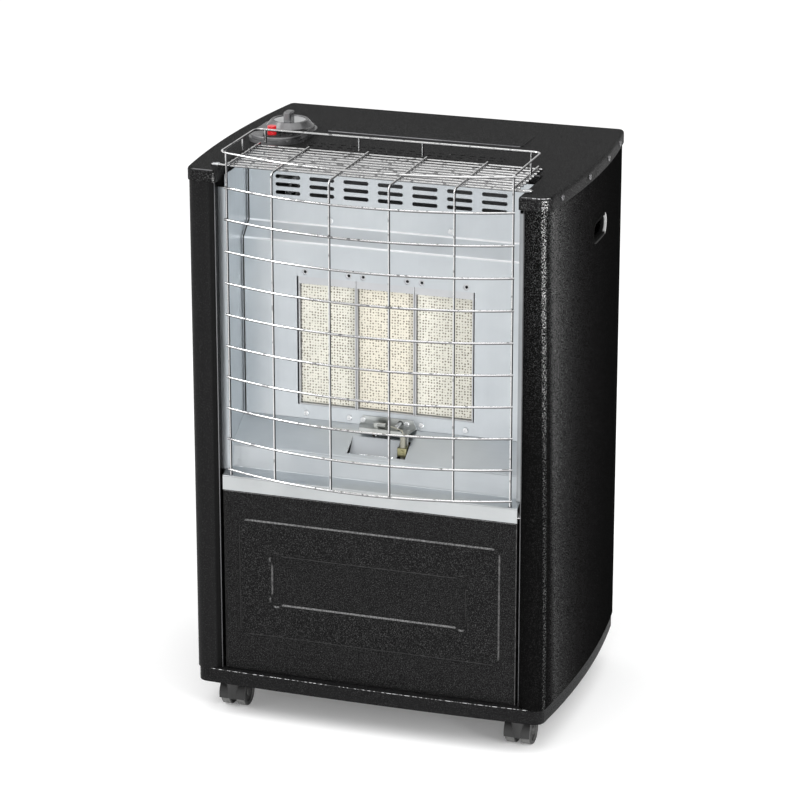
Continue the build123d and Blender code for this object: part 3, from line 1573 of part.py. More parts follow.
with BuildPart() as rear_top_rail:
    with BuildSketch(rail_plane):
        with Locations((0, (rail_bottom + rail_top) / 2)):
            Rectangle(2 * rear_half_width, rail_top - rail_bottom)
        for x, height in stud_spots:
            with Locations((x, height)):
                Circle(grommet_neck, mode=Mode.SUBTRACT)
    extrude(amount=sheet)
    with BuildSketch(Plane.XY.offset(up(rail_bottom))):
        with Locations((0, at(cabinet_depth - sheet))):
            Rectangle(2 * rear_half_width, rail_shelf, align=(Align.CENTER, Align.MAX))
    extrude(amount=sheet)
    with BuildSketch(Plane.XY.offset(base_z)):
        add(cabinet_plan(-sheet - shield_clearance))
    extrude(amount=cabinet_height, mode=Mode.INTERSECT)
save(rear_top_rail.part, "rear_top_rail")

with BuildPart() as stud_grommets:
    for start, depth, radius in (
        (rail_plane.offset(sheet), 2.0, grommet_radius),
        (rail_plane, sheet, grommet_neck),
    ):
        with BuildSketch(start):
            for x, height in stud_spots:
                with Locations((x, height)):
                    Circle(radius)
        extrude(amount=depth)
    with BuildSketch(rail_plane):
        for x, height in stud_spots:
            with Locations((x, height)):
                Circle(stud_radius + stud_clearance)
    extrude(amount=5, mode=Mode.SUBTRACT)
save(stud_grommets.part, "stud_grommets")

with BuildPart() as cover_studs:
    stud_plane = cover_plane.offset(cover_pan - sheet)
    with BuildSketch(stud_plane):
        for x, height in stud_spots:
            with Locations((x, cover_middle - height)):
                Circle(stud_radius + 3)
    extrude(amount=-1.5)
    with BuildSketch(stud_plane):
        for x, height in stud_spots:
            with Locations((x, cover_middle - height)):
                Circle(stud_radius)
    extrude(amount=-stud_length)
    chamfer(cover_studs.faces().sort_by(Axis.Y)[:2].edges(), 1.0)
save(cover_studs.part, "cover_studs")

# ---------------------------------------------------------------- casters
hood_clearance = 1.3
hood_shell = 2.2
hood_cut = 13.4
hood_rear_cut = 24.0
boss_radius = 8.5
collar_radius = 6.5
collar_gap = 0.3
wheel_gap = 0.4
hub_recess = 2.0
socket_height = 22.0
socket_flange_radius = 9.5
stem_chamfer = 0.8


def caster_hood(x, depth):
    """One twin-wheel caster's body with its stem, trailing to the rear."""
    stem = (x, at(depth))
    axle_y = at(depth + caster_trail)
    side = SIDE_PLANE.offset(x)
    pocket = wheel_radius + hood_clearance
    with BuildPart(mode=Mode.PRIVATE) as hood:
        with BuildSketch(side):
            with Locations((axle_y, wheel_radius)):
                Circle(pocket + hood_shell)
        extrude(amount=caster_width / 2, both=True)
        with BuildSketch(Plane.XY.offset(hood_cut)):
            with Locations(stem):
                Circle(boss_radius)
        extrude(amount=caster_top - hood_cut)
        for turn in (-1, 1):
            with BuildSketch(SIDE_PLANE.offset(x + turn * caster_web / 2)):
                with Locations((axle_y, wheel_radius)):
                    Circle(pocket)
            extrude(amount=turn * caster_width, mode=Mode.SUBTRACT)
        with BuildSketch(Plane.XY.offset(hood_cut)):
            with Locations(stem):
                Rectangle(4 * caster_width, 4 * caster_width)
        extrude(amount=-caster_height, mode=Mode.SUBTRACT)
        with BuildSketch(Plane.XY.offset(hood_rear_cut)):
            with Locations((x, axle_y + 8)):
                Rectangle(2 * caster_width, caster_width, align=(Align.CENTER, Align.MIN))
        extrude(amount=-caster_height, mode=Mode.SUBTRACT)
        with BuildSketch(side):
            with Locations((axle_y, wheel_radius)):
                Circle(axle_radius + 4.5)
        extrude(amount=caster_web / 2, both=True)
        with BuildSketch(side):
            with Locations((axle_y, wheel_radius)):
                Circle(axle_radius + running_fit)
        extrude(amount=caster_width, both=True, mode=Mode.SUBTRACT)
        with BuildSketch(Plane.XY.offset(caster_top)):
            with Locations(stem):
                Circle(collar_radius)
        extrude(amount=caster_height - collar_gap - caster_top)
        with BuildSketch(Plane.XY.offset(caster_top)):
            with Locations(stem):
                Circle(stem_radius)
        extrude(amount=stem_length)
        chamfer(hood.faces().sort_by(Axis.Z)[-1].edges(), stem_chamfer)
    return hood.part


def caster_wheels(x, depth):
    """Two wheels pressed on one steel axle."""
    axle_y = at(depth + caster_trail)
    solids = []
    for turn in (-1, 1):
        inner = SIDE_PLANE.offset(x + turn * (caster_web / 2 + wheel_gap))
        with BuildPart(mode=Mode.PRIVATE) as wheel:
            with BuildSketch(inner):
                with Locations((axle_y, wheel_radius)):
                    Circle(wheel_radius)
                    Circle(axle_radius, mode=Mode.SUBTRACT)
            extrude(amount=turn * wheel_width)
            chamfer(wheel.edges().filter_by(GeomType.CIRCLE).group_by(SortBy.RADIUS)[-1], 1.0)
            with BuildSketch(inner.offset(turn * wheel_width)):
                with Locations((axle_y, wheel_radius)):
                    Circle(wheel_radius - 4)
                    Circle(axle_radius + 3, mode=Mode.SUBTRACT)
            extrude(amount=-turn * hub_recess, mode=Mode.SUBTRACT)
        solids.append(wheel.part)
    with BuildPart(mode=Mode.PRIVATE) as axle:
        with BuildSketch(SIDE_PLANE.offset(x)):
            with Locations((axle_y, wheel_radius)):
                Circle(axle_radius)
        extrude(amount=caster_web / 2 + wheel_gap + wheel_width, both=True)
    solids.append(axle.part)
    return Compound([solid for piece in solids for solid in piece.solids()])


for name, (x, depth) in caster_spots.items():
    save(caster_hood(x, depth), f"caster_hood_{name}")
    save(caster_wheels(x, depth), f"caster_wheels_{name}")

with BuildPart() as caster_sockets:
    with BuildSketch(Plane.XY.offset(base_z)):
        for x, depth in caster_spots.values():
            with Locations((x, at(depth))):
                Circle(socket_radius)
    extrude(amount=socket_height)
    with BuildSketch(Plane.XY.offset(base_z + sheet)):
        for x, depth in caster_spots.values():
            with Locations((x, at(depth))):
                Circle(socket_flange_radius)
    extrude(amount=2 * sheet)
    with BuildSketch(Plane.XY.offset(base_z)):
        for x, depth in caster_spots.values():
            with Locations((x, at(depth))):
                Circle(stem_radius + running_fit)
    extrude(amount=socket_height, mode=Mode.SUBTRACT)
save(caster_sockets.part, "caster_sockets")

# ---------------------------------------------------------------- screws
screw_head_height = 1.8
screw_length = 8.0


def pan_screw(plane):
    """A pan-head screw whose head sits on the plane and whose shank runs behind it."""
    with BuildPart(mode=Mode.PRIVATE) as screw:
        with BuildSketch(plane):
            Circle(screw_head_radius)
        extrude(amount=screw_head_height)
        fillet(screw.edges().filter_by(GeomType.CIRCLE).sort_by_distance(plane.offset(9).origin)[0], 1.2)
        with BuildSketch(plane):
            Circle(screw_radius)
        extrude(amount=-screw_length)
        with BuildSketch(plane.offset(screw_head_height)):
            Rectangle(3.4, 0.8)
            Rectangle(0.8, 3.4)
        extrude(amount=-0.9, mode=Mode.SUBTRACT)
    return screw.part


case_screw_parts = []
for depth in lid_screw_depths:
    x, lean = side_x(depth)
    reach = lid_overhang + 0.05
    turn = radians(lean)
    for side in (-1, 1):
        head_plane = Plane(
            origin=(
                side * (x + reach * cos(turn)),
                at(depth) + reach * sin(turn),
                up(lid_screw_height),
            ),
            z_dir=(side * cos(turn), sin(turn), 0),
        )
        case_screw_parts.extend(pan_screw(head_plane).solids())
save(Compound(case_screw_parts), "case_screws")

burner_screw_parts = []
for x in burner_screw_spots:
    on_bracket = pilot_plate_left < x < pilot_plate_right
    lift = plate if on_bracket else 0.0
    head_plane = screw_plane.offset(lift).shift_origin(
        Vector(x, at(burner_wall_depth) - lift, up(burner_screw_height))
    )
    burner_screw_parts.extend(pan_screw(head_plane).solids())
for x in (-wall_screw_half_span, wall_screw_half_span):
    head_plane = wall_plane.shift_origin(Vector(x, at(upper_wall_depth), up(wall_screw_height)))
    burner_screw_parts.extend(pan_screw(head_plane).solids())
save(Compound(burner_screw_parts), "burner_screws")
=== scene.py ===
import math

import bmesh
import bpy
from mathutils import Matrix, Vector


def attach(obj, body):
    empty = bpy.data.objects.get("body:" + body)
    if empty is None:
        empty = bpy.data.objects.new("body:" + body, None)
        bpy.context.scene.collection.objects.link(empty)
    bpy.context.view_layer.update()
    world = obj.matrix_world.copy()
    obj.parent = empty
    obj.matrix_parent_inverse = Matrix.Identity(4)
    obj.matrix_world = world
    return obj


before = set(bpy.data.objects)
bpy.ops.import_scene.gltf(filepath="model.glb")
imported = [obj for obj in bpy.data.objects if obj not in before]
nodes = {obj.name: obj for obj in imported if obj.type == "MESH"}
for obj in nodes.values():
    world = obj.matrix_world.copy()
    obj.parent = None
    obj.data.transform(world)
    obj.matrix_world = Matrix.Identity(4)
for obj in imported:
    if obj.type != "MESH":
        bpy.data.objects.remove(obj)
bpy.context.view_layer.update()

# Lengths are in mm. Depths count back from the front panel's plane, heights up
# from the underside of the base.
MM = 0.001
DOOR_Y = -144.45
BASE_Z = 41.0
CORNER_X = 198.44  # centre of the casing's rounded front corners
CORNER_DEPTH = 5.99
WALL_STEP_TOP = 542.8  # the reflector's back wall steps forward between these heights
WALL_STEP_FOOT = 526.0
FLAP_X = -5.5  # middle of the flap in the reflector's floor


def at(depth):
    return (DOOR_Y + depth) * MM


def up(height):
    return (BASE_Z + height) * MM


def spot(x, depth, height):
    return (x * MM, at(depth), up(height))


# ---------------------------------------------------------------- camera
SENSOR_WIDTH = 36.0
FOCAL_PIXELS = 3436.19
PHOTO_PIXELS = 800.0
YAW, PITCH = 0.32538, 0.32408

scene = bpy.context.scene
cam_data = bpy.data.cameras.new("camera")
cam = bpy.data.objects.new("camera", cam_data)
scene.collection.objects.link(cam)
cam.location = spot(1206.43, -3461.8, 1598.9)
aim = Vector((-math.sin(YAW) * math.cos(PITCH), math.cos(YAW) * math.cos(PITCH), -math.sin(PITCH)))
cam.rotation_euler = aim.to_track_quat("-Z", "Y").to_euler()
cam_data.sensor_width = SENSOR_WIDTH
cam_data.lens = FOCAL_PIXELS / PHOTO_PIXELS * SENSOR_WIDTH
cam_data.clip_end = 100.0
scene.camera = cam


# ---------------------------------------------------------------- shader parts
def new_material(name):
    material = bpy.data.materials.new(name)
    material.use_nodes = True
    tree = material.node_tree
    tree.nodes.clear()
    out = tree.nodes.new("ShaderNodeOutputMaterial")
    shader = tree.nodes.new("ShaderNodeBsdfPrincipled")
    tree.links.new(shader.outputs["BSDF"], out.inputs["Surface"])
    return material, tree, shader


def coords(tree, scale=(1, 1, 1), kind="Object"):
    source = tree.nodes.new("ShaderNodeTexCoord")
    mapping = tree.nodes.new("ShaderNodeMapping")
    mapping.inputs["Scale"].default_value = scale
    tree.links.new(source.outputs[kind], mapping.inputs["Vector"])
    return mapping.outputs["Vector"]


def noise(tree, vector, scale, detail=2.0, rough=0.5):
    node = tree.nodes.new("ShaderNodeTexNoise")
    node.inputs["Scale"].default_value = scale
    node.inputs["Detail"].default_value = detail
    node.inputs["Roughness"].default_value = rough
    tree.links.new(vector, node.inputs["Vector"])
    return node.outputs["Fac"]


def cells(tree, vector, scale, randomness=1.0):
    node = tree.nodes.new("ShaderNodeTexVoronoi")
    node.inputs["Scale"].default_value = scale
    node.inputs["Randomness"].default_value = randomness
    tree.links.new(vector, node.inputs["Vector"])
    return node.outputs


def spread(tree, value, low, high, to_low=0.0, to_high=1.0):
    """Map the range from low to high onto the range from to_low to to_high, clamped."""
    node = tree.nodes.new("ShaderNodeMapRange")
    node.inputs["From Min"].default_value = low
    node.inputs["From Max"].default_value = high
    node.inputs["To Min"].default_value = to_low
    node.inputs["To Max"].default_value = to_high
    tree.links.new(value, node.inputs["Value"])
    return node.outputs["Result"]


def blend_colour(tree, factor, first, second):
    node = tree.nodes.new("ShaderNodeMix")
    node.data_type = "RGBA"
    tree.links.new(factor, node.inputs["Factor"])
    for key, value in (("A", first), ("B", second)):
        socket = [s for s in node.inputs if s.name == key and s.type == "RGBA"][0]
        if isinstance(value, tuple):
            socket.default_value = (*value, 1.0)
        else:
            tree.links.new(value, socket)
    return [s for s in node.outputs if s.type == "RGBA"][0]


def put(tree, value, socket):
    """Set the socket to a number, or link another socket to it."""
    if isinstance(value, (int, float)):
        socket.default_value = value
    else:
        tree.links.new(value, socket)


def grey(tree, value):
    node = tree.nodes.new("ShaderNodeCombineColor")
    for channel in ("Red", "Green", "Blue"):
        put(tree, value, node.inputs[channel])
    return node.outputs["Color"]


def maths(tree, operation, first, second=0.0):
    node = tree.nodes.new("ShaderNodeMath")
    node.operation = operation
    put(tree, first, node.inputs[0])
    put(tree, second, node.inputs[1])
    return node.outputs["Value"]


def product(tree, first, *others):
    for other in others:
        first = maths(tree, "MULTIPLY", first, other)
    return first


def bump(tree, shader, height, strength, distance):
    node = tree.nodes.new("ShaderNodeBump")
    node.inputs["Strength"].default_value = strength
    node.inputs["Distance"].default_value = distance
    tree.links.new(height, node.inputs["Height"])
    tree.links.new(node.outputs["Normal"], shader.inputs["Normal"])


def paint(tree, shader, colour, field, rough_low, rough_high):
    """Link the base colour, and a roughness that follows the field."""
    tree.links.new(colour, shader.inputs["Base Color"])
    tree.links.new(spread(tree, field, 0.3, 0.7, rough_low, rough_high), shader.inputs["Roughness"])


def split(tree, vector):
    node = tree.nodes.new("ShaderNodeSeparateXYZ")
    tree.links.new(vector, node.inputs["Vector"])
    return node.outputs


def position(tree):
    return split(tree, coords(tree))


def facing(tree, direction, low, high):
    """1 where the surface faces the direction, 0 away from it."""
    node = tree.nodes.new("ShaderNodeVectorMath")
    node.operation = "DOT_PRODUCT"
    node.inputs[1].default_value = direction
    tree.links.new(coords(tree, kind="Normal"), node.inputs[0])
    return spread(tree, node.outputs["Value"], low, high)


def grain_field(tree, scale=1000.0):
    """Grain of the textured coat, about a millimetre across, and its glint mask."""
    grain = noise(tree, coords(tree), scale, 1.0, 0.5)
    fleck = noise(tree, coords(tree, (1.0, 1.13, 0.91)), 0.7 * scale, 1.0, 0.5)
    return grain, product(tree, spread(tree, grain, 0.50, 0.64), spread(tree, fleck, 0.38, 0.60))


# ---------------------------------------------------------------- looks
def powder_coat(name, dark, fleck, specular, rough=(0.36, 0.60), dust=0.2, relief=0.5,
                scale=1000.0, corner=None, rim=None, bevels=(), shade=None, flank=None):
    """Black textured powder coat: dark body, glinting grains, faint haze.

    corner: a direction whose grains get a painted highlight, and its limits. rim:
    heights of a painted highlight along an edge. bevels: directions of pressed edges,
    the strength and brightness of the painted highlight on each. shade: two places
    across the part between which painted shade darkens the coat.
    flank: a direction whose faces keep their grains, and how bright these are.
    """
    material, tree, shader = new_material(name)
    x, _, z = position(tree)
    grain, glint = grain_field(tree, scale)
    cloud = noise(tree, coords(tree), 7.0, 4.0, 0.6)
    scuffs = noise(tree, coords(tree, (60, 60, 4)), 3.0, 3.0, 0.7)
    haze = product(tree, spread(tree, cloud, 0.45, 0.85), spread(tree, scuffs, 0.45, 0.8))
    clean = (dark, dark, dark * 1.03)
    body = blend_colour(tree, spread(tree, haze, 0.0, 1.0, 0.0, dust), clean, (0.03, 0.03, 0.031))
    bright = fleck
    polish = 0.15
    if flank:
        direction, tone = flank
        bright = spread(tree, facing(tree, direction, 0.85, 0.99), 0.0, 1.0, fleck, tone)
    # Painted highlight: grains on faces turned to the corner direction are painted bright, and made
    # metallic.
    if corner:
        painted_highlight = spread(tree, facing(tree, *corner), 0.0, 1.0, 0.0, 0.75)
        bright = maths(tree, "MAXIMUM", bright, painted_highlight)
        polish = maths(tree, "MAXIMUM", polish, facing(tree, *corner))
    colour = blend_colour(tree, glint, body, grey(tree, bright))
    # Painted highlight: a grey band at the rim heights on faces turned forward and up.
    if rim:
        wear_and_highlight = product(
            tree,
            spread(tree, z, up(rim[0]), up(rim[1])),
            facing(tree, (0.0, -0.75, 0.66), 0.90, 0.97),
            spread(tree, cloud, 0.3, 0.6, 0.3, 0.9),
        )
        colour = blend_colour(tree, wear_and_highlight, colour, (0.30, 0.30, 0.31))
    # Painted highlights on the pressed bevels, in dashes, brightest on those turned up and to the
    # right.
    for direction, share, tone in bevels:
        dashes = noise(tree, coords(tree, (1, 1, 0.5)), 700.0, 2.0, 0.6)
        dashes = spread(tree, dashes, 0.42, 0.58, share * 0.35, share)
        wear_and_highlight = product(tree, facing(tree, direction, 0.95, 0.99), dashes)
        colour = blend_colour(tree, wear_and_highlight, colour, (tone, tone, tone))
    # Painted shade: the coat darkens from the first shade place to the second and beyond.
    if shade:
        painted_shade = spread(tree, x, shade[0] * MM, shade[1] * MM, 0.0, 0.85)
        colour = blend_colour(tree, painted_shade, colour, (0.002, 0.002, 0.002))
    paint(tree, shader, colour, grain, rough[1], rough[0])
    tree.links.new(product(tree, glint, polish), shader.inputs["Metallic"])
    shader.inputs["Specular IOR Level"].default_value = specular
    bump(tree, shader, grain, relief, 0.0006)
    return material


def right_side_coat(name):
    """Black powder coat of the right side.

    A painted highlight of bright grains runs down the rounded corner. Behind it a
    painted sheen starts, weaker lower down, and dies away towards the rear.
    """
    material, tree, shader = new_material(name)
    _, y, z = position(tree)
    grain, glint = grain_field(tree)
    normal = split(tree, coords(tree, kind="Normal"))
    turn = maths(tree, "ARCTAN2", normal[0], product(tree, normal[1], -1.0))
    # Painted highlight: grains round the corner, at a turn that moves back lower down and fades below.
    middle = spread(tree, z, up(600), up(100), math.radians(28), math.radians(66))
    away = maths(tree, "ABSOLUTE", maths(tree, "SUBTRACT", turn, middle))
    corner_highlight = spread(tree, away, math.radians(6), math.radians(15), 1.0, 0.0)
    corner_highlight = product(tree, corner_highlight, spread(tree, z, up(520), up(320), 0.70, 0.12))
    # Painted sheen behind the corner, fading towards the rear and lower down.
    behind = maths(tree, "SUBTRACT", y, spread(tree, z, up(600), up(40), at(7), at(32)))
    sheen = product(
        tree,
        spread(tree, behind, -0.014, -0.001),
        spread(tree, turn, 0.95, 1.35),
        maths(tree, "POWER", spread(tree, behind, 0.0, 0.24, 1.0, 0.0), 5.6),
        spread(tree, z, up(470), up(230), 0.036, 0.018),
        spread(tree, grain, 0.47, 0.62, 0.15, 3.0),
    )
    # Painted light: flecks brightest high up at the front edge, fading lower down and towards the rear.
    front = spread(tree, z, up(600), up(330), 0.075, 0.012)
    rear = spread(tree, y, at(10), at(240), 0.035, 0.006)
    rearward = spread(tree, y, at(6), at(16))
    flecks = maths(
        tree,
        "ADD",
        product(tree, front, maths(tree, "SUBTRACT", 1.0, rearward)),
        product(tree, rear, rearward),
    )
    flecks = product(tree, maths(tree, "MAXIMUM", flecks, corner_highlight), glint)
    bright = maths(tree, "ADD", maths(tree, "ADD", flecks, sheen), 0.0030)
    paint(tree, shader, grey(tree, bright), grain, 0.60, 0.36)
    shader.inputs["Specular IOR Level"].default_value = 0.0
    bump(tree, shader, grain, 0.35, 0.0006)
    return material


def base_coat(name):
    """The base's powder coat, darker than the casing's."""
    material, tree, shader = new_material(name)
    grain, glint = grain_field(tree, 1300.0)
    body = blend_colour(tree, glint, (0.006, 0.006, 0.0063), (0.035, 0.035, 0.035))
    paint(tree, shader, body, grain, 0.60, 0.40)
    tree.links.new(product(tree, glint, 0.2), shader.inputs["Metallic"])
    shader.inputs["Specular IOR Level"].default_value = 0.06
    bump(tree, shader, grain, 0.5, 0.0006)
    return material


def painted_edge_highlight(name):
    """Painted highlight along an edge of the coat, in short bright dashes."""
    material, tree, shader = new_material(name)
    dashes = noise(tree, coords(tree), 330.0, 2.0, 0.6)
    painted_highlight = spread(tree, dashes, 0.50, 0.56)
    colour = blend_colour(tree, painted_highlight, (0.010, 0.010, 0.010), (0.62, 0.62, 0.63))
    paint(tree, shader, colour, dashes, 0.55, 0.30)
    bump(tree, shader, dashes, 0.1, 0.0002)
    return material


def sheet_metal(name, base, tint, rough=(0.28, 0.42), metallic=0.85, folds=()):
    """Galvanised sheet: soft blotches, drawn streaks, faint spangle, painted highlights along the
    folds.
    """
    material, tree, shader = new_material(name)
    shader.inputs["Metallic"].default_value = metallic
    drawn = noise(tree, coords(tree, (30, 30, 2)), 14.0, 4.0, 0.6)
    blotch = noise(tree, coords(tree), 11.0, 3.0, 0.55)
    colour = blend_colour(tree, spread(tree, blotch, 0.3, 0.7), base, tint)
    spangle = split(tree, cells(tree, coords(tree), 90.0)["Color"])[0]
    pale = tuple(min(1.0, c * 1.25) for c in base)
    colour = blend_colour(tree, spread(tree, spangle, 0.0, 1.0, 0.0, 0.10), colour, pale)
    z = position(tree)[2]
    # Painted highlight: a pale band along each fold height.
    for height in folds:
        off = maths(tree, "ABSOLUTE", maths(tree, "SUBTRACT", z, up(height)))
        fold_highlight = spread(tree, off, 0.0005, 0.0014, 1.0, 0.0)
        colour = blend_colour(tree, fold_highlight, colour, (0.97, 0.98, 1.0))
    paint(tree, shader, colour, drawn, *rough)
    bump(tree, shader, drawn, 0.06, 0.0004)
    return material


def reflector_floor_metal(name):
    """Galvanised slope above, plain light grey lip along the front, a dull flap."""
    material, tree, shader = new_material(name)
    x, y, z = position(tree)
    lip = product(tree, spread(tree, z, up(257.6), up(256.8)), spread(tree, y, at(6.0), at(3.0)))
    drawn = noise(tree, coords(tree, (2, 30, 30)), 14.0, 4.0, 0.6)
    blotch = spread(tree, noise(tree, coords(tree), 11.0, 3.0, 0.55), 0.3, 0.7)
    slope = blend_colour(tree, blotch, (0.46, 0.49, 0.515), (0.53, 0.56, 0.58))
    front = blend_colour(tree, blotch, (0.38, 0.395, 0.40), (0.46, 0.475, 0.48))
    across = maths(tree, "ABSOLUTE", maths(tree, "SUBTRACT", x, FLAP_X * MM))
    flap = product(
        tree,
        spread(tree, across, 0.0290, 0.0286),
        spread(tree, y, at(22), at(23)),
        spread(tree, y, at(52), at(50)),
        facing(tree, (0.0, -0.54, 0.84), 0.985, 0.97),
    )
    slope = blend_colour(tree, flap, slope, (0.36, 0.38, 0.40))
    paint(tree, shader, blend_colour(tree, lip, slope, front), drawn, 0.30, 0.45)
    plain = maths(tree, "MAXIMUM", product(tree, lip, 0.5), product(tree, flap, 0.8))
    tree.links.new(maths(tree, "SUBTRACT", 1.0, plain), shader.inputs["Metallic"])
    bump(tree, shader, drawn, 0.06, 0.0004)
    return material


def metal(name, colour, rough=(0.15, 0.3), stained=None, relief=0.1):
    """Plated or machined metal with fine handling marks."""
    material, tree, shader = new_material(name)
    shader.inputs["Metallic"].default_value = 1.0
    marks = noise(tree, coords(tree), 300.0, 4.0, 0.6)
    patches = noise(tree, coords(tree), 37.5, 2.0, 0.5)
    stained = stained or tuple(c * 0.8 for c in colour)
    colour = blend_colour(tree, spread(tree, patches, 0.35, 0.75), colour, stained)
    paint(tree, shader, colour, marks, *rough)
    bump(tree, shader, marks, relief, 0.0002)
    return material


def chromed_wire(name):
    """Chromed wire with painted shade on the sides turned right and down, and fine dark marks along it.
    """
    material, tree, shader = new_material(name)
    shader.inputs["Metallic"].default_value = 1.0
    marks = noise(tree, coords(tree), 120.0, 2.0, 0.5)
    # Painted shade on the sides turned right and down.
    right = facing(tree, (0.93, -0.37, 0.0), 0.30, 0.75)
    down = facing(tree, (0.0, -0.5, -0.87), 0.30, 0.75)
    shade_and_marks = maths(tree, "MAXIMUM", right, down)
    shade_and_marks = maths(tree, "MAXIMUM", shade_and_marks, spread(tree, marks, 0.56, 0.66, 0.0, 0.70))
    colour = blend_colour(tree, shade_and_marks, (1.0, 1.0, 1.0), (0.03, 0.03, 0.032))
    paint(tree, shader, colour, marks, 0.10, 0.20)
    bump(tree, shader, marks, 0.03, 0.0002)
    return material


def plastic(name, colour, rough=(0.25, 0.4), coat=0.0, relief=0.12, second=None):
    """Moulded plastic: faint grain, slightly uneven gloss."""
    material, tree, shader = new_material(name)
    grain = noise(tree, coords(tree), 700.0, 3.0, 0.55)
    cloud = noise(tree, coords(tree), 40.0, 2.0, 0.5)
    second = second or tuple(min(1.0, c * 1.35 + 0.004) for c in colour)
    colour = blend_colour(tree, spread(tree, cloud, 0.35, 0.7), colour, second)
    paint(tree, shader, colour, grain, *rough)
    shader.inputs["Coat Weight"].default_value = coat
    shader.inputs["Coat Roughness"].default_value = 0.08
    bump(tree, shader, grain, relief, 0.0002)
    return material


def knob_plastic(name):
    """Smoky plastic, dark, with painted light making the faces turned forward paler, and a random
    cloudy tone.
    """
    material, tree, shader = new_material(name)
    grain = noise(tree, coords(tree), 700.0, 3.0, 0.55)
    cloud = noise(tree, coords(tree), 55.0, 3.0, 0.6)
    # Painted light on the faces turned forward.
    forward = product(tree, facing(tree, (-0.25, -0.90, 0.36), 0.35, 0.95), 0.65)
    tone = maths(tree, "ADD", forward, spread(tree, cloud, 0.35, 0.65, 0.0, 0.35))
    colour = blend_colour(tree, tone, (0.016, 0.016, 0.017), (0.20, 0.20, 0.205))
    paint(tree, shader, colour, grain, 0.16, 0.26)
    shader.inputs["Coat Weight"].default_value = 0.3
    shader.inputs["Coat Roughness"].default_value = 0.08
    bump(tree, shader, grain, 0.10, 0.0002)
    return material


def grip_plastic(name):
    """Black plastic with a painted highlight along the outer lip of its rear end, and a faint dark grey
    painted highlight along the lip below.
    """
    material, tree, shader = new_material(name)
    x, y, z = position(tree)
    grain = noise(tree, coords(tree), 700.0, 3.0, 0.55)
    lip = spread(tree, maths(tree, "ABSOLUTE", x), 0.2152, 0.2166)
    # Painted highlights: bright at the lip's rear end, dark grey along its lower part.
    rear = product(tree, lip, spread(tree, y, at(197), at(200)))
    below = product(tree, lip, spread(tree, z, up(531), up(527)))
    body = spread(tree, grain, 0.3, 0.7)
    colour = blend_colour(tree, body, (0.006, 0.006, 0.006), (0.010, 0.010, 0.010))
    colour = blend_colour(tree, below, colour, (0.05, 0.05, 0.05))
    colour = blend_colour(tree, rear, colour, (0.42, 0.42, 0.42))
    paint(tree, shader, colour, grain, 0.3, 0.45)
    shader.inputs["Specular IOR Level"].default_value = 0.0
    bump(tree, shader, grain, 0.12, 0.0002)
    return material


def ceramic_plaque(name, warm):
    """Cream ceramic with fine burner holes in rows, drawn as dots of painted shade."""
    material, tree, shader = new_material(name)
    vector = coords(tree, (1.0, 0.0, 1.0))
    grid = cells(tree, vector, 300.0, 0.30)
    # Painted shade in the holes, some a little lighter than others.
    holes = spread(tree, grid["Distance"], 0.24, 0.36, 1.0, 0.0)
    depth = spread(tree, split(tree, grid["Color"])[0], 0.0, 1.0, 0.75, 1.0)
    holes = product(tree, holes, depth)
    wear_and_highlight = spread(tree, noise(tree, vector, 60.0, 3.0, 0.6), 0.35, 0.7)
    body = blend_colour(tree, wear_and_highlight, warm, tuple(c * 0.94 for c in warm))
    colour = blend_colour(tree, holes, body, (0.12, 0.10, 0.07))
    tree.links.new(colour, shader.inputs["Base Color"])
    shader.inputs["Roughness"].default_value = 0.9
    shader.inputs["Specular IOR Level"].default_value = 0.2
    bump(tree, shader, maths(tree, "SUBTRACT", 1.0, holes), 0.3, 0.0006)
    return material


def caster_wheel(name):
    """Black wheel sides, grey treads."""
    material, tree, shader = new_material(name)
    sideways = split(tree, coords(tree, kind="Normal"))[0]
    side = spread(tree, maths(tree, "ABSOLUTE", sideways), 0.55, 0.75)
    grain = noise(tree, coords(tree), 500.0, 3.0, 0.6)
    dusty = spread(tree, grain, 0.3, 0.7)
    tread = blend_colour(tree, dusty, (0.09, 0.09, 0.09), (0.17, 0.17, 0.165))
    colour = blend_colour(tree, side, tread, (0.004, 0.004, 0.004))
    paint(tree, shader, colour, grain, 0.40, 0.60)
    bump(tree, shader, grain, 0.15, 0.0003)
    return material


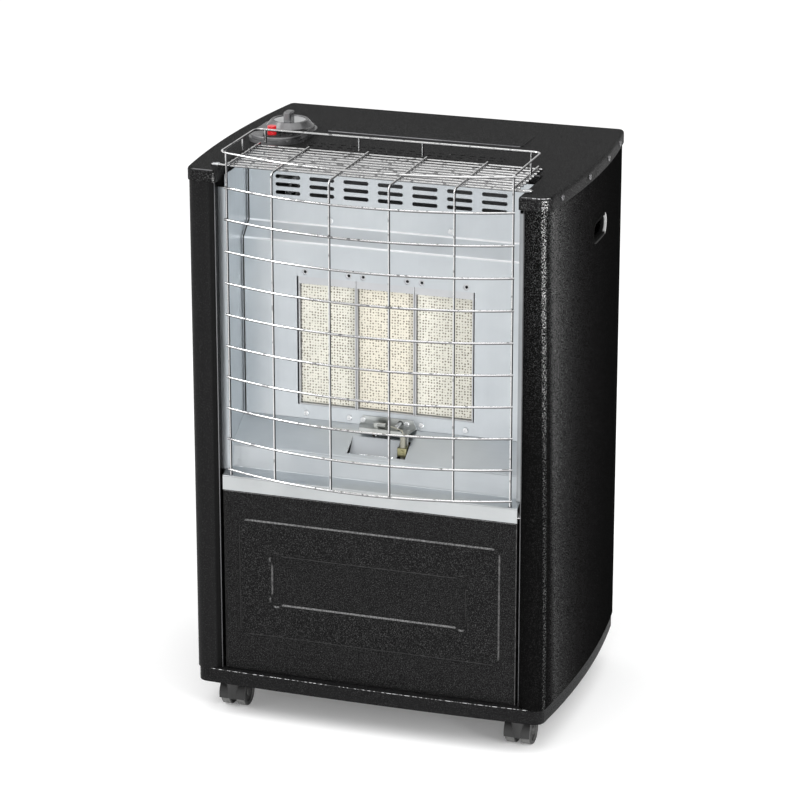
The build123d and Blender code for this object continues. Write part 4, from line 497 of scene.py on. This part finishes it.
ZINC, ZINC_PALE = (0.46, 0.49, 0.515), (0.53, 0.56, 0.58)
# Lit and shaded copies of the zinc: painted lighter for the left wall, painted shade for the right
# wall.
ZINC_LIT, ZINC_LIT_PALE = (0.48, 0.515, 0.54), (0.55, 0.585, 0.61)
ZINC_SHADED, ZINC_SHADED_PALE = (0.26, 0.275, 0.285), (0.33, 0.345, 0.355)
# Painted highlights on the front panel's pressed bevels: direction, strength, brightness.
PANEL_BEVEL_HIGHLIGHTS = (
    ((0.0, -0.707, 0.707), 0.60, 0.30),
    ((0.707, -0.707, 0.0), 0.50, 0.20),
    ((0.0, -0.707, -0.707), 0.9, 0.060),
    ((-0.707, -0.707, 0.0), 0.8, 0.045),
)
# The panels wear one black powder coat; its dark and fleck values differ from panel to panel as painted
# light and shade.
looks = {
    # Left side: painted shade on the strip of the column beside its inner edge.
    "coat_left": powder_coat(
        "black powder coat, left side", 0.008, 0.022, 0.06,
        relief=0.15, shade=(-187.0, -185.0), flank=((-1.0, 0.0, 0.0), 0.13),
    ),
    "coat_right": right_side_coat("black powder coat, right side"),
    "coat_rear": powder_coat("black powder coat of the rear", 0.006, 0.10, 0.05),
    "coat_door": powder_coat(
        "black powder coat of the front panel", 0.0040, 0.060, 0.05,
        relief=0.35, scale=1400.0, bevels=PANEL_BEVEL_HIGHLIGHTS,
    ),
    # Lid: a painted highlight down the right front corner and along the front rim.
    "coat_lid": powder_coat(
        "black powder coat of the lid", 0.0045, 0.07, 0.06,
        rough=(0.48, 0.62), dust=0.15, relief=0.3,
        corner=((0.53, -0.848, 0.0), 0.955, 0.985), rim=(620.2, 621.4),
    ),
    # Painted highlight for the base and lid edges, in bright dashes.
    "edge": painted_edge_highlight("painted highlight along the base and lid edges"),
    "grip": grip_plastic("black plastic of the hand grips"),
    "base": base_coat("black powder coat of the base"),
    "screw_black": metal("blackened screw", (0.16, 0.16, 0.165), (0.18, 0.3)),
    "galvanised": sheet_metal(
        "galvanised sheet", ZINC, ZINC_PALE, metallic=1.0, folds=(WALL_STEP_TOP, WALL_STEP_FOOT)
    ),
    "galvanised_lit_left": sheet_metal(
        "galvanised sheet, painted lit, left wall", ZINC_LIT, ZINC_LIT_PALE, metallic=1.0
    ),
    "galvanised_shaded_right": sheet_metal(
        "galvanised sheet, painted shade, right wall", ZINC_SHADED, ZINC_SHADED_PALE, metallic=1.0
    ),
    "floor": reflector_floor_metal("galvanised sheet of the burner floor"),
    "burner": sheet_metal("aluminised pressing", (0.46, 0.47, 0.49), (0.54, 0.55, 0.56), (0.35, 0.5)),
    "wire": chromed_wire("chromed wire"),
    "bead": plastic("folded edge of the coat, painted highlight grey", (0.10, 0.10, 0.105), (0.25, 0.4)),
    "steel": metal("zinc plated steel", (0.70, 0.71, 0.72), (0.25, 0.4)),
    "brass": metal("machined brass", (0.74, 0.58, 0.27), (0.25, 0.42), (0.46, 0.36, 0.16)),
    "bracket": metal("bracket steel", (0.52, 0.54, 0.54), (0.3, 0.45), (0.38, 0.39, 0.37)),
    "olive": metal("olive chromated steel", (0.36, 0.34, 0.20), (0.3, 0.45), (0.20, 0.19, 0.10)),
    "alloy": metal("drawn alloy tube", (0.72, 0.73, 0.74), (0.3, 0.45)),
    "knob": knob_plastic("smoky plastic"),
    "ring": metal("chromed ring", (0.88, 0.89, 0.90), (0.06, 0.14), relief=0.02),
    "red": plastic(
        "red plastic", (0.78, 0.012, 0.020), (0.16, 0.26), coat=0.6, second=(0.70, 0.010, 0.018)
    ),
    "black": plastic("black plastic", (0.011, 0.011, 0.011), (0.35, 0.5)),
    "ceramic": plastic("sooted ceramic rod", (0.24, 0.235, 0.19), (0.25, 0.4), coat=0.2),
    "rubber": plastic("black rubber", (0.014, 0.014, 0.014), (0.6, 0.75), relief=0.3),
    "wheel": caster_wheel("caster wheel"),
    # Painted shadow for the gap between the reflector's sheets.
    "shadow_gap": plastic("painted shadow in the gap between sheets", (0.006, 0.006, 0.006), (0.6, 0.8)),
    "plaque": ceramic_plaque("ceramic plaque", (0.69, 0.675, 0.60)),
    "plaque_warm": ceramic_plaque("ceramic plaque, warmer", (0.69, 0.655, 0.56)),
}
wearing = {
    "coat_left": ["side_panel_left"],
    "coat_right": ["side_panel_right"],
    "coat_rear": ["rear_cover", "rear_top_rail"],
    "coat_door": ["front_panel"],
    "coat_lid": ["top_cover"],
    "base": ["base_tray"],
    "galvanised": ["reflector_back"],
    "galvanised_lit_left": ["reflector_left"],
    "galvanised_shaded_right": ["reflector_right"],
    "floor": ["reflector_floor"],
    "burner": ["burner_left", "burner_center", "burner_right", "heat_shield"],
    "wire": ["wire_guard", "wire_shelf", "shelf_rail"],
    "steel": ["manifold_brackets", "valve_bracket", "thermocouple", "piezo_nut", "valve_spindle",
              "guard_clips", "hinge_brackets", "cover_studs", "caster_sockets", "burner_screws"],
    "screw_black": ["case_screws"],
    "brass": ["gas_manifold", "injectors", "valve_plug", "hose_nozzle"],
    "olive": ["electrode_clamp"],
    "bracket": ["pilot_bracket", "pilot_burner"],
    "alloy": ["gas_valve", "burner_pipes", "supply_pipe", "pilot_pipe"],
    "knob": ["control_plinth", "control_knob"],
    "ring": ["knob_insert"],
    "red": ["piezo_button"],
    "black": ["piezo_body"] + [n for n in nodes if n.startswith("caster_hood")],
    "ceramic": ["spark_electrode"],
    "grip": ["hand_grips"],
    "rubber": ["ignition_lead", "stud_grommets"],
    "wheel": [n for n in nodes if n.startswith("caster_wheels")],
    "plaque": ["plaque_left", "plaque_right"],
    "plaque_warm": ["plaque_center"],
}
for look, members in wearing.items():
    for member in members:
        slots = nodes[member].data.materials
        slots.clear()
        slots.append(looks[look])


# ---------------------------------------------------------------- small pieces
def rod(name, points, radius, look, sides):
    """A thin round bead of the cabinet through the points, closed at both ends."""
    mesh = bmesh.new()
    rings = []
    centres = [Vector(point) for point in points]
    for number, centre in enumerate(centres):
        before = centres[max(number - 1, 0)]
        after = centres[min(number + 1, len(centres) - 1)]
        along = (after - before).normalized()
        side = along.cross(Vector((0.13, 0.97, 0.21))).normalized()
        other = along.cross(side)
        ring = []
        for step in range(sides):
            turn = 2 * math.pi * step / sides
            out = math.cos(turn) * side + math.sin(turn) * other
            ring.append(mesh.verts.new(centre + radius * MM * out))
        rings.append(ring)
    for first, second in zip(rings, rings[1:]):
        for step in range(sides):
            after = (step + 1) % sides
            face = mesh.faces.new((first[step], first[after], second[after], second[step]))
            face.smooth = True
    mesh.faces.new(rings[0])
    mesh.faces.new(list(reversed(rings[-1])))
    bmesh.ops.recalc_face_normals(mesh, faces=mesh.faces)
    data = bpy.data.meshes.new(name)
    mesh.to_mesh(data)
    mesh.free()
    data.materials.append(looks[look])
    obj = bpy.data.objects.new(name, data)
    scene.collection.objects.link(obj)
    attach(obj, "cabinet")


def corner_spot(turn, radius, degrees, height):
    """A place round the front corner of one side, from its front edge backwards."""
    angle = math.radians(degrees)
    x = CORNER_X + radius * math.sin(angle)
    return spot(turn * x, CORNER_DEPTH - radius * math.cos(angle), height)


# Beads along the columns' inner edges: real folds, painted a lighter grey than the coat as a highlight.
column_edge_x = 180.9
for turn, side in ((-1, "left"), (1, "right")):
    edge = [spot(turn * column_edge_x, -0.2, height) for height in (18.0, 300.0, 606.0)]
    rod(f"column_edge_{side}", edge, 0.55, "bead", 10)

# The base's upper edge, with a painted highlight along the bowed front, round the
# corners and down the sides, which are arcs of a large circle.
base_edge_height = 17.1
base_front_depth = -10.6
base_front_bow = 4.0
base_front_half_width = 199.0
base_corner_radius = 12.6
side_arc_radius = 1264.3
side_arc_x = -1046.4
side_arc_depth = 136.7
for turn, side in ((-1, "left"), (1, "right")):
    edge = []
    for x in range(0, 199, 18):
        depth = base_front_depth + base_front_bow * (x / base_front_half_width) ** 2
        edge.append(spot(turn * x, depth, base_edge_height))
    for degrees in range(4, 85, 16):
        edge.append(corner_spot(turn, base_corner_radius, degrees, base_edge_height))
    for depth in range(20, 301, 40):
        x = side_arc_x + math.sqrt(side_arc_radius ** 2 - (depth - side_arc_depth) ** 2)
        edge.append(spot(turn * x, depth, base_edge_height))
    rod(f"base_edge_highlight_{side}", edge, 0.30, "edge", 6)

# Painted highlight along the lid's front edge, round its right front corner.
lid_edge_height = 620.9
lid_corner_radius = 14.4
rim = [spot(x, -8.3, lid_edge_height) for x in (184.0, 192.0, 198.0)]
for degrees in (10, 22, 34, 46, 58):
    rim.append(corner_spot(1, lid_corner_radius, degrees, lid_edge_height))
rod("lid_edge_highlight_right", rim, 0.40, "edge", 6)

# A bright chrome rod along the flap's lower fold, standing in for the fold's highlight.
fold_highlight_line = [spot(FLAP_X + offset, 24.4, 292.3) for offset in (-27.5, 0.5, 27.5)]
rod("flap_fold_highlight", fold_highlight_line, 0.35, "ring", 6)

# Dark rods along the corners of the reflector walls: painted shadow in the gap between the sheets.
shadow_gap_x = 171.0
wall_profile = [(80.0, 612.0), (80.0, WALL_STEP_TOP), (61.3, WALL_STEP_FOOT), (61.3, 315.5)]
for turn, side in ((-1, "left"), (1, "right")):
    shadow_gap = [spot(turn * shadow_gap_x, depth - 0.5, height) for depth, height in wall_profile]
    rod(f"reflector_shadow_gap_{side}", shadow_gap, 0.75, "shadow_gap", 10)

# ---------------------------------------------------------------- floor, light
WHITE = (1.0, 1.0, 1.0, 1.0)
floor_material, floor_tree, floor_shader = new_material("pale floor")
floor_noise = noise(floor_tree, coords(floor_tree), 3.0, 3.0, 0.5)
floor_tree.links.new(
    blend_colour(floor_tree, floor_noise, (0.91, 0.91, 0.91), (0.93, 0.93, 0.93)),
    floor_shader.inputs["Base Color"],
)
floor_shader.inputs["Roughness"].default_value = 0.85
floor_shader.inputs["Emission Color"].default_value = WHITE
floor_shader.inputs["Emission Strength"].default_value = 0.13
floor_mesh = bpy.data.meshes.new("floor")
reach = 14.0
floor_mesh.from_pydata(
    [(-reach, -reach, 0), (reach, -reach, 0), (reach, reach, 0), (-reach, reach, 0)], [], [(0, 1, 2, 3)]
)
floor = bpy.data.objects.new("floor", floor_mesh)
floor_mesh.materials.append(floor_material)
scene.collection.objects.link(floor)

world = bpy.data.worlds.new("studio")
scene.world = world
world.use_nodes = True
background = world.node_tree.nodes["Background"]
background.inputs["Color"].default_value = WHITE
background.inputs["Strength"].default_value = 0.55
scene.view_settings.view_transform = "Standard"


def lamp(name, kind, energy, direction):
    """A light that shines along the direction."""
    data = bpy.data.lights.new(name, kind)
    data.energy = energy
    light = bpy.data.objects.new(name, data)
    light.rotation_euler = direction.to_track_quat("-Z", "Y").to_euler()
    scene.collection.objects.link(light)
    return light


def area(name, place, target, size, energy):
    light = lamp(name, "AREA", energy, Vector(target) - Vector(place))
    light.location = place
    light.data.shape = "RECTANGLE"
    light.data.size, light.data.size_y = size


sun = lamp("overhead", "SUN", 1.45, Vector((-0.26, 0.22, -0.94)))
sun.data.angle = math.radians(66)
area("key", (1.3, -3.3, 1.3), (0, 0, 0.35), (1.3, 1.3), 20)
area("strip", (1.5, -0.95, 0.5), (0.2, -0.1, 0.35), (0.14, 1.5), 20)
area("left sky", (-1.7, -0.9, 2.0), (-0.3, -0.1, 0.0), (1.2, 1.2), 22)
area("left strip", (-1.5, -1.6, 0.9), (-0.2, -0.1, 0.35), (0.2, 1.5), 4)
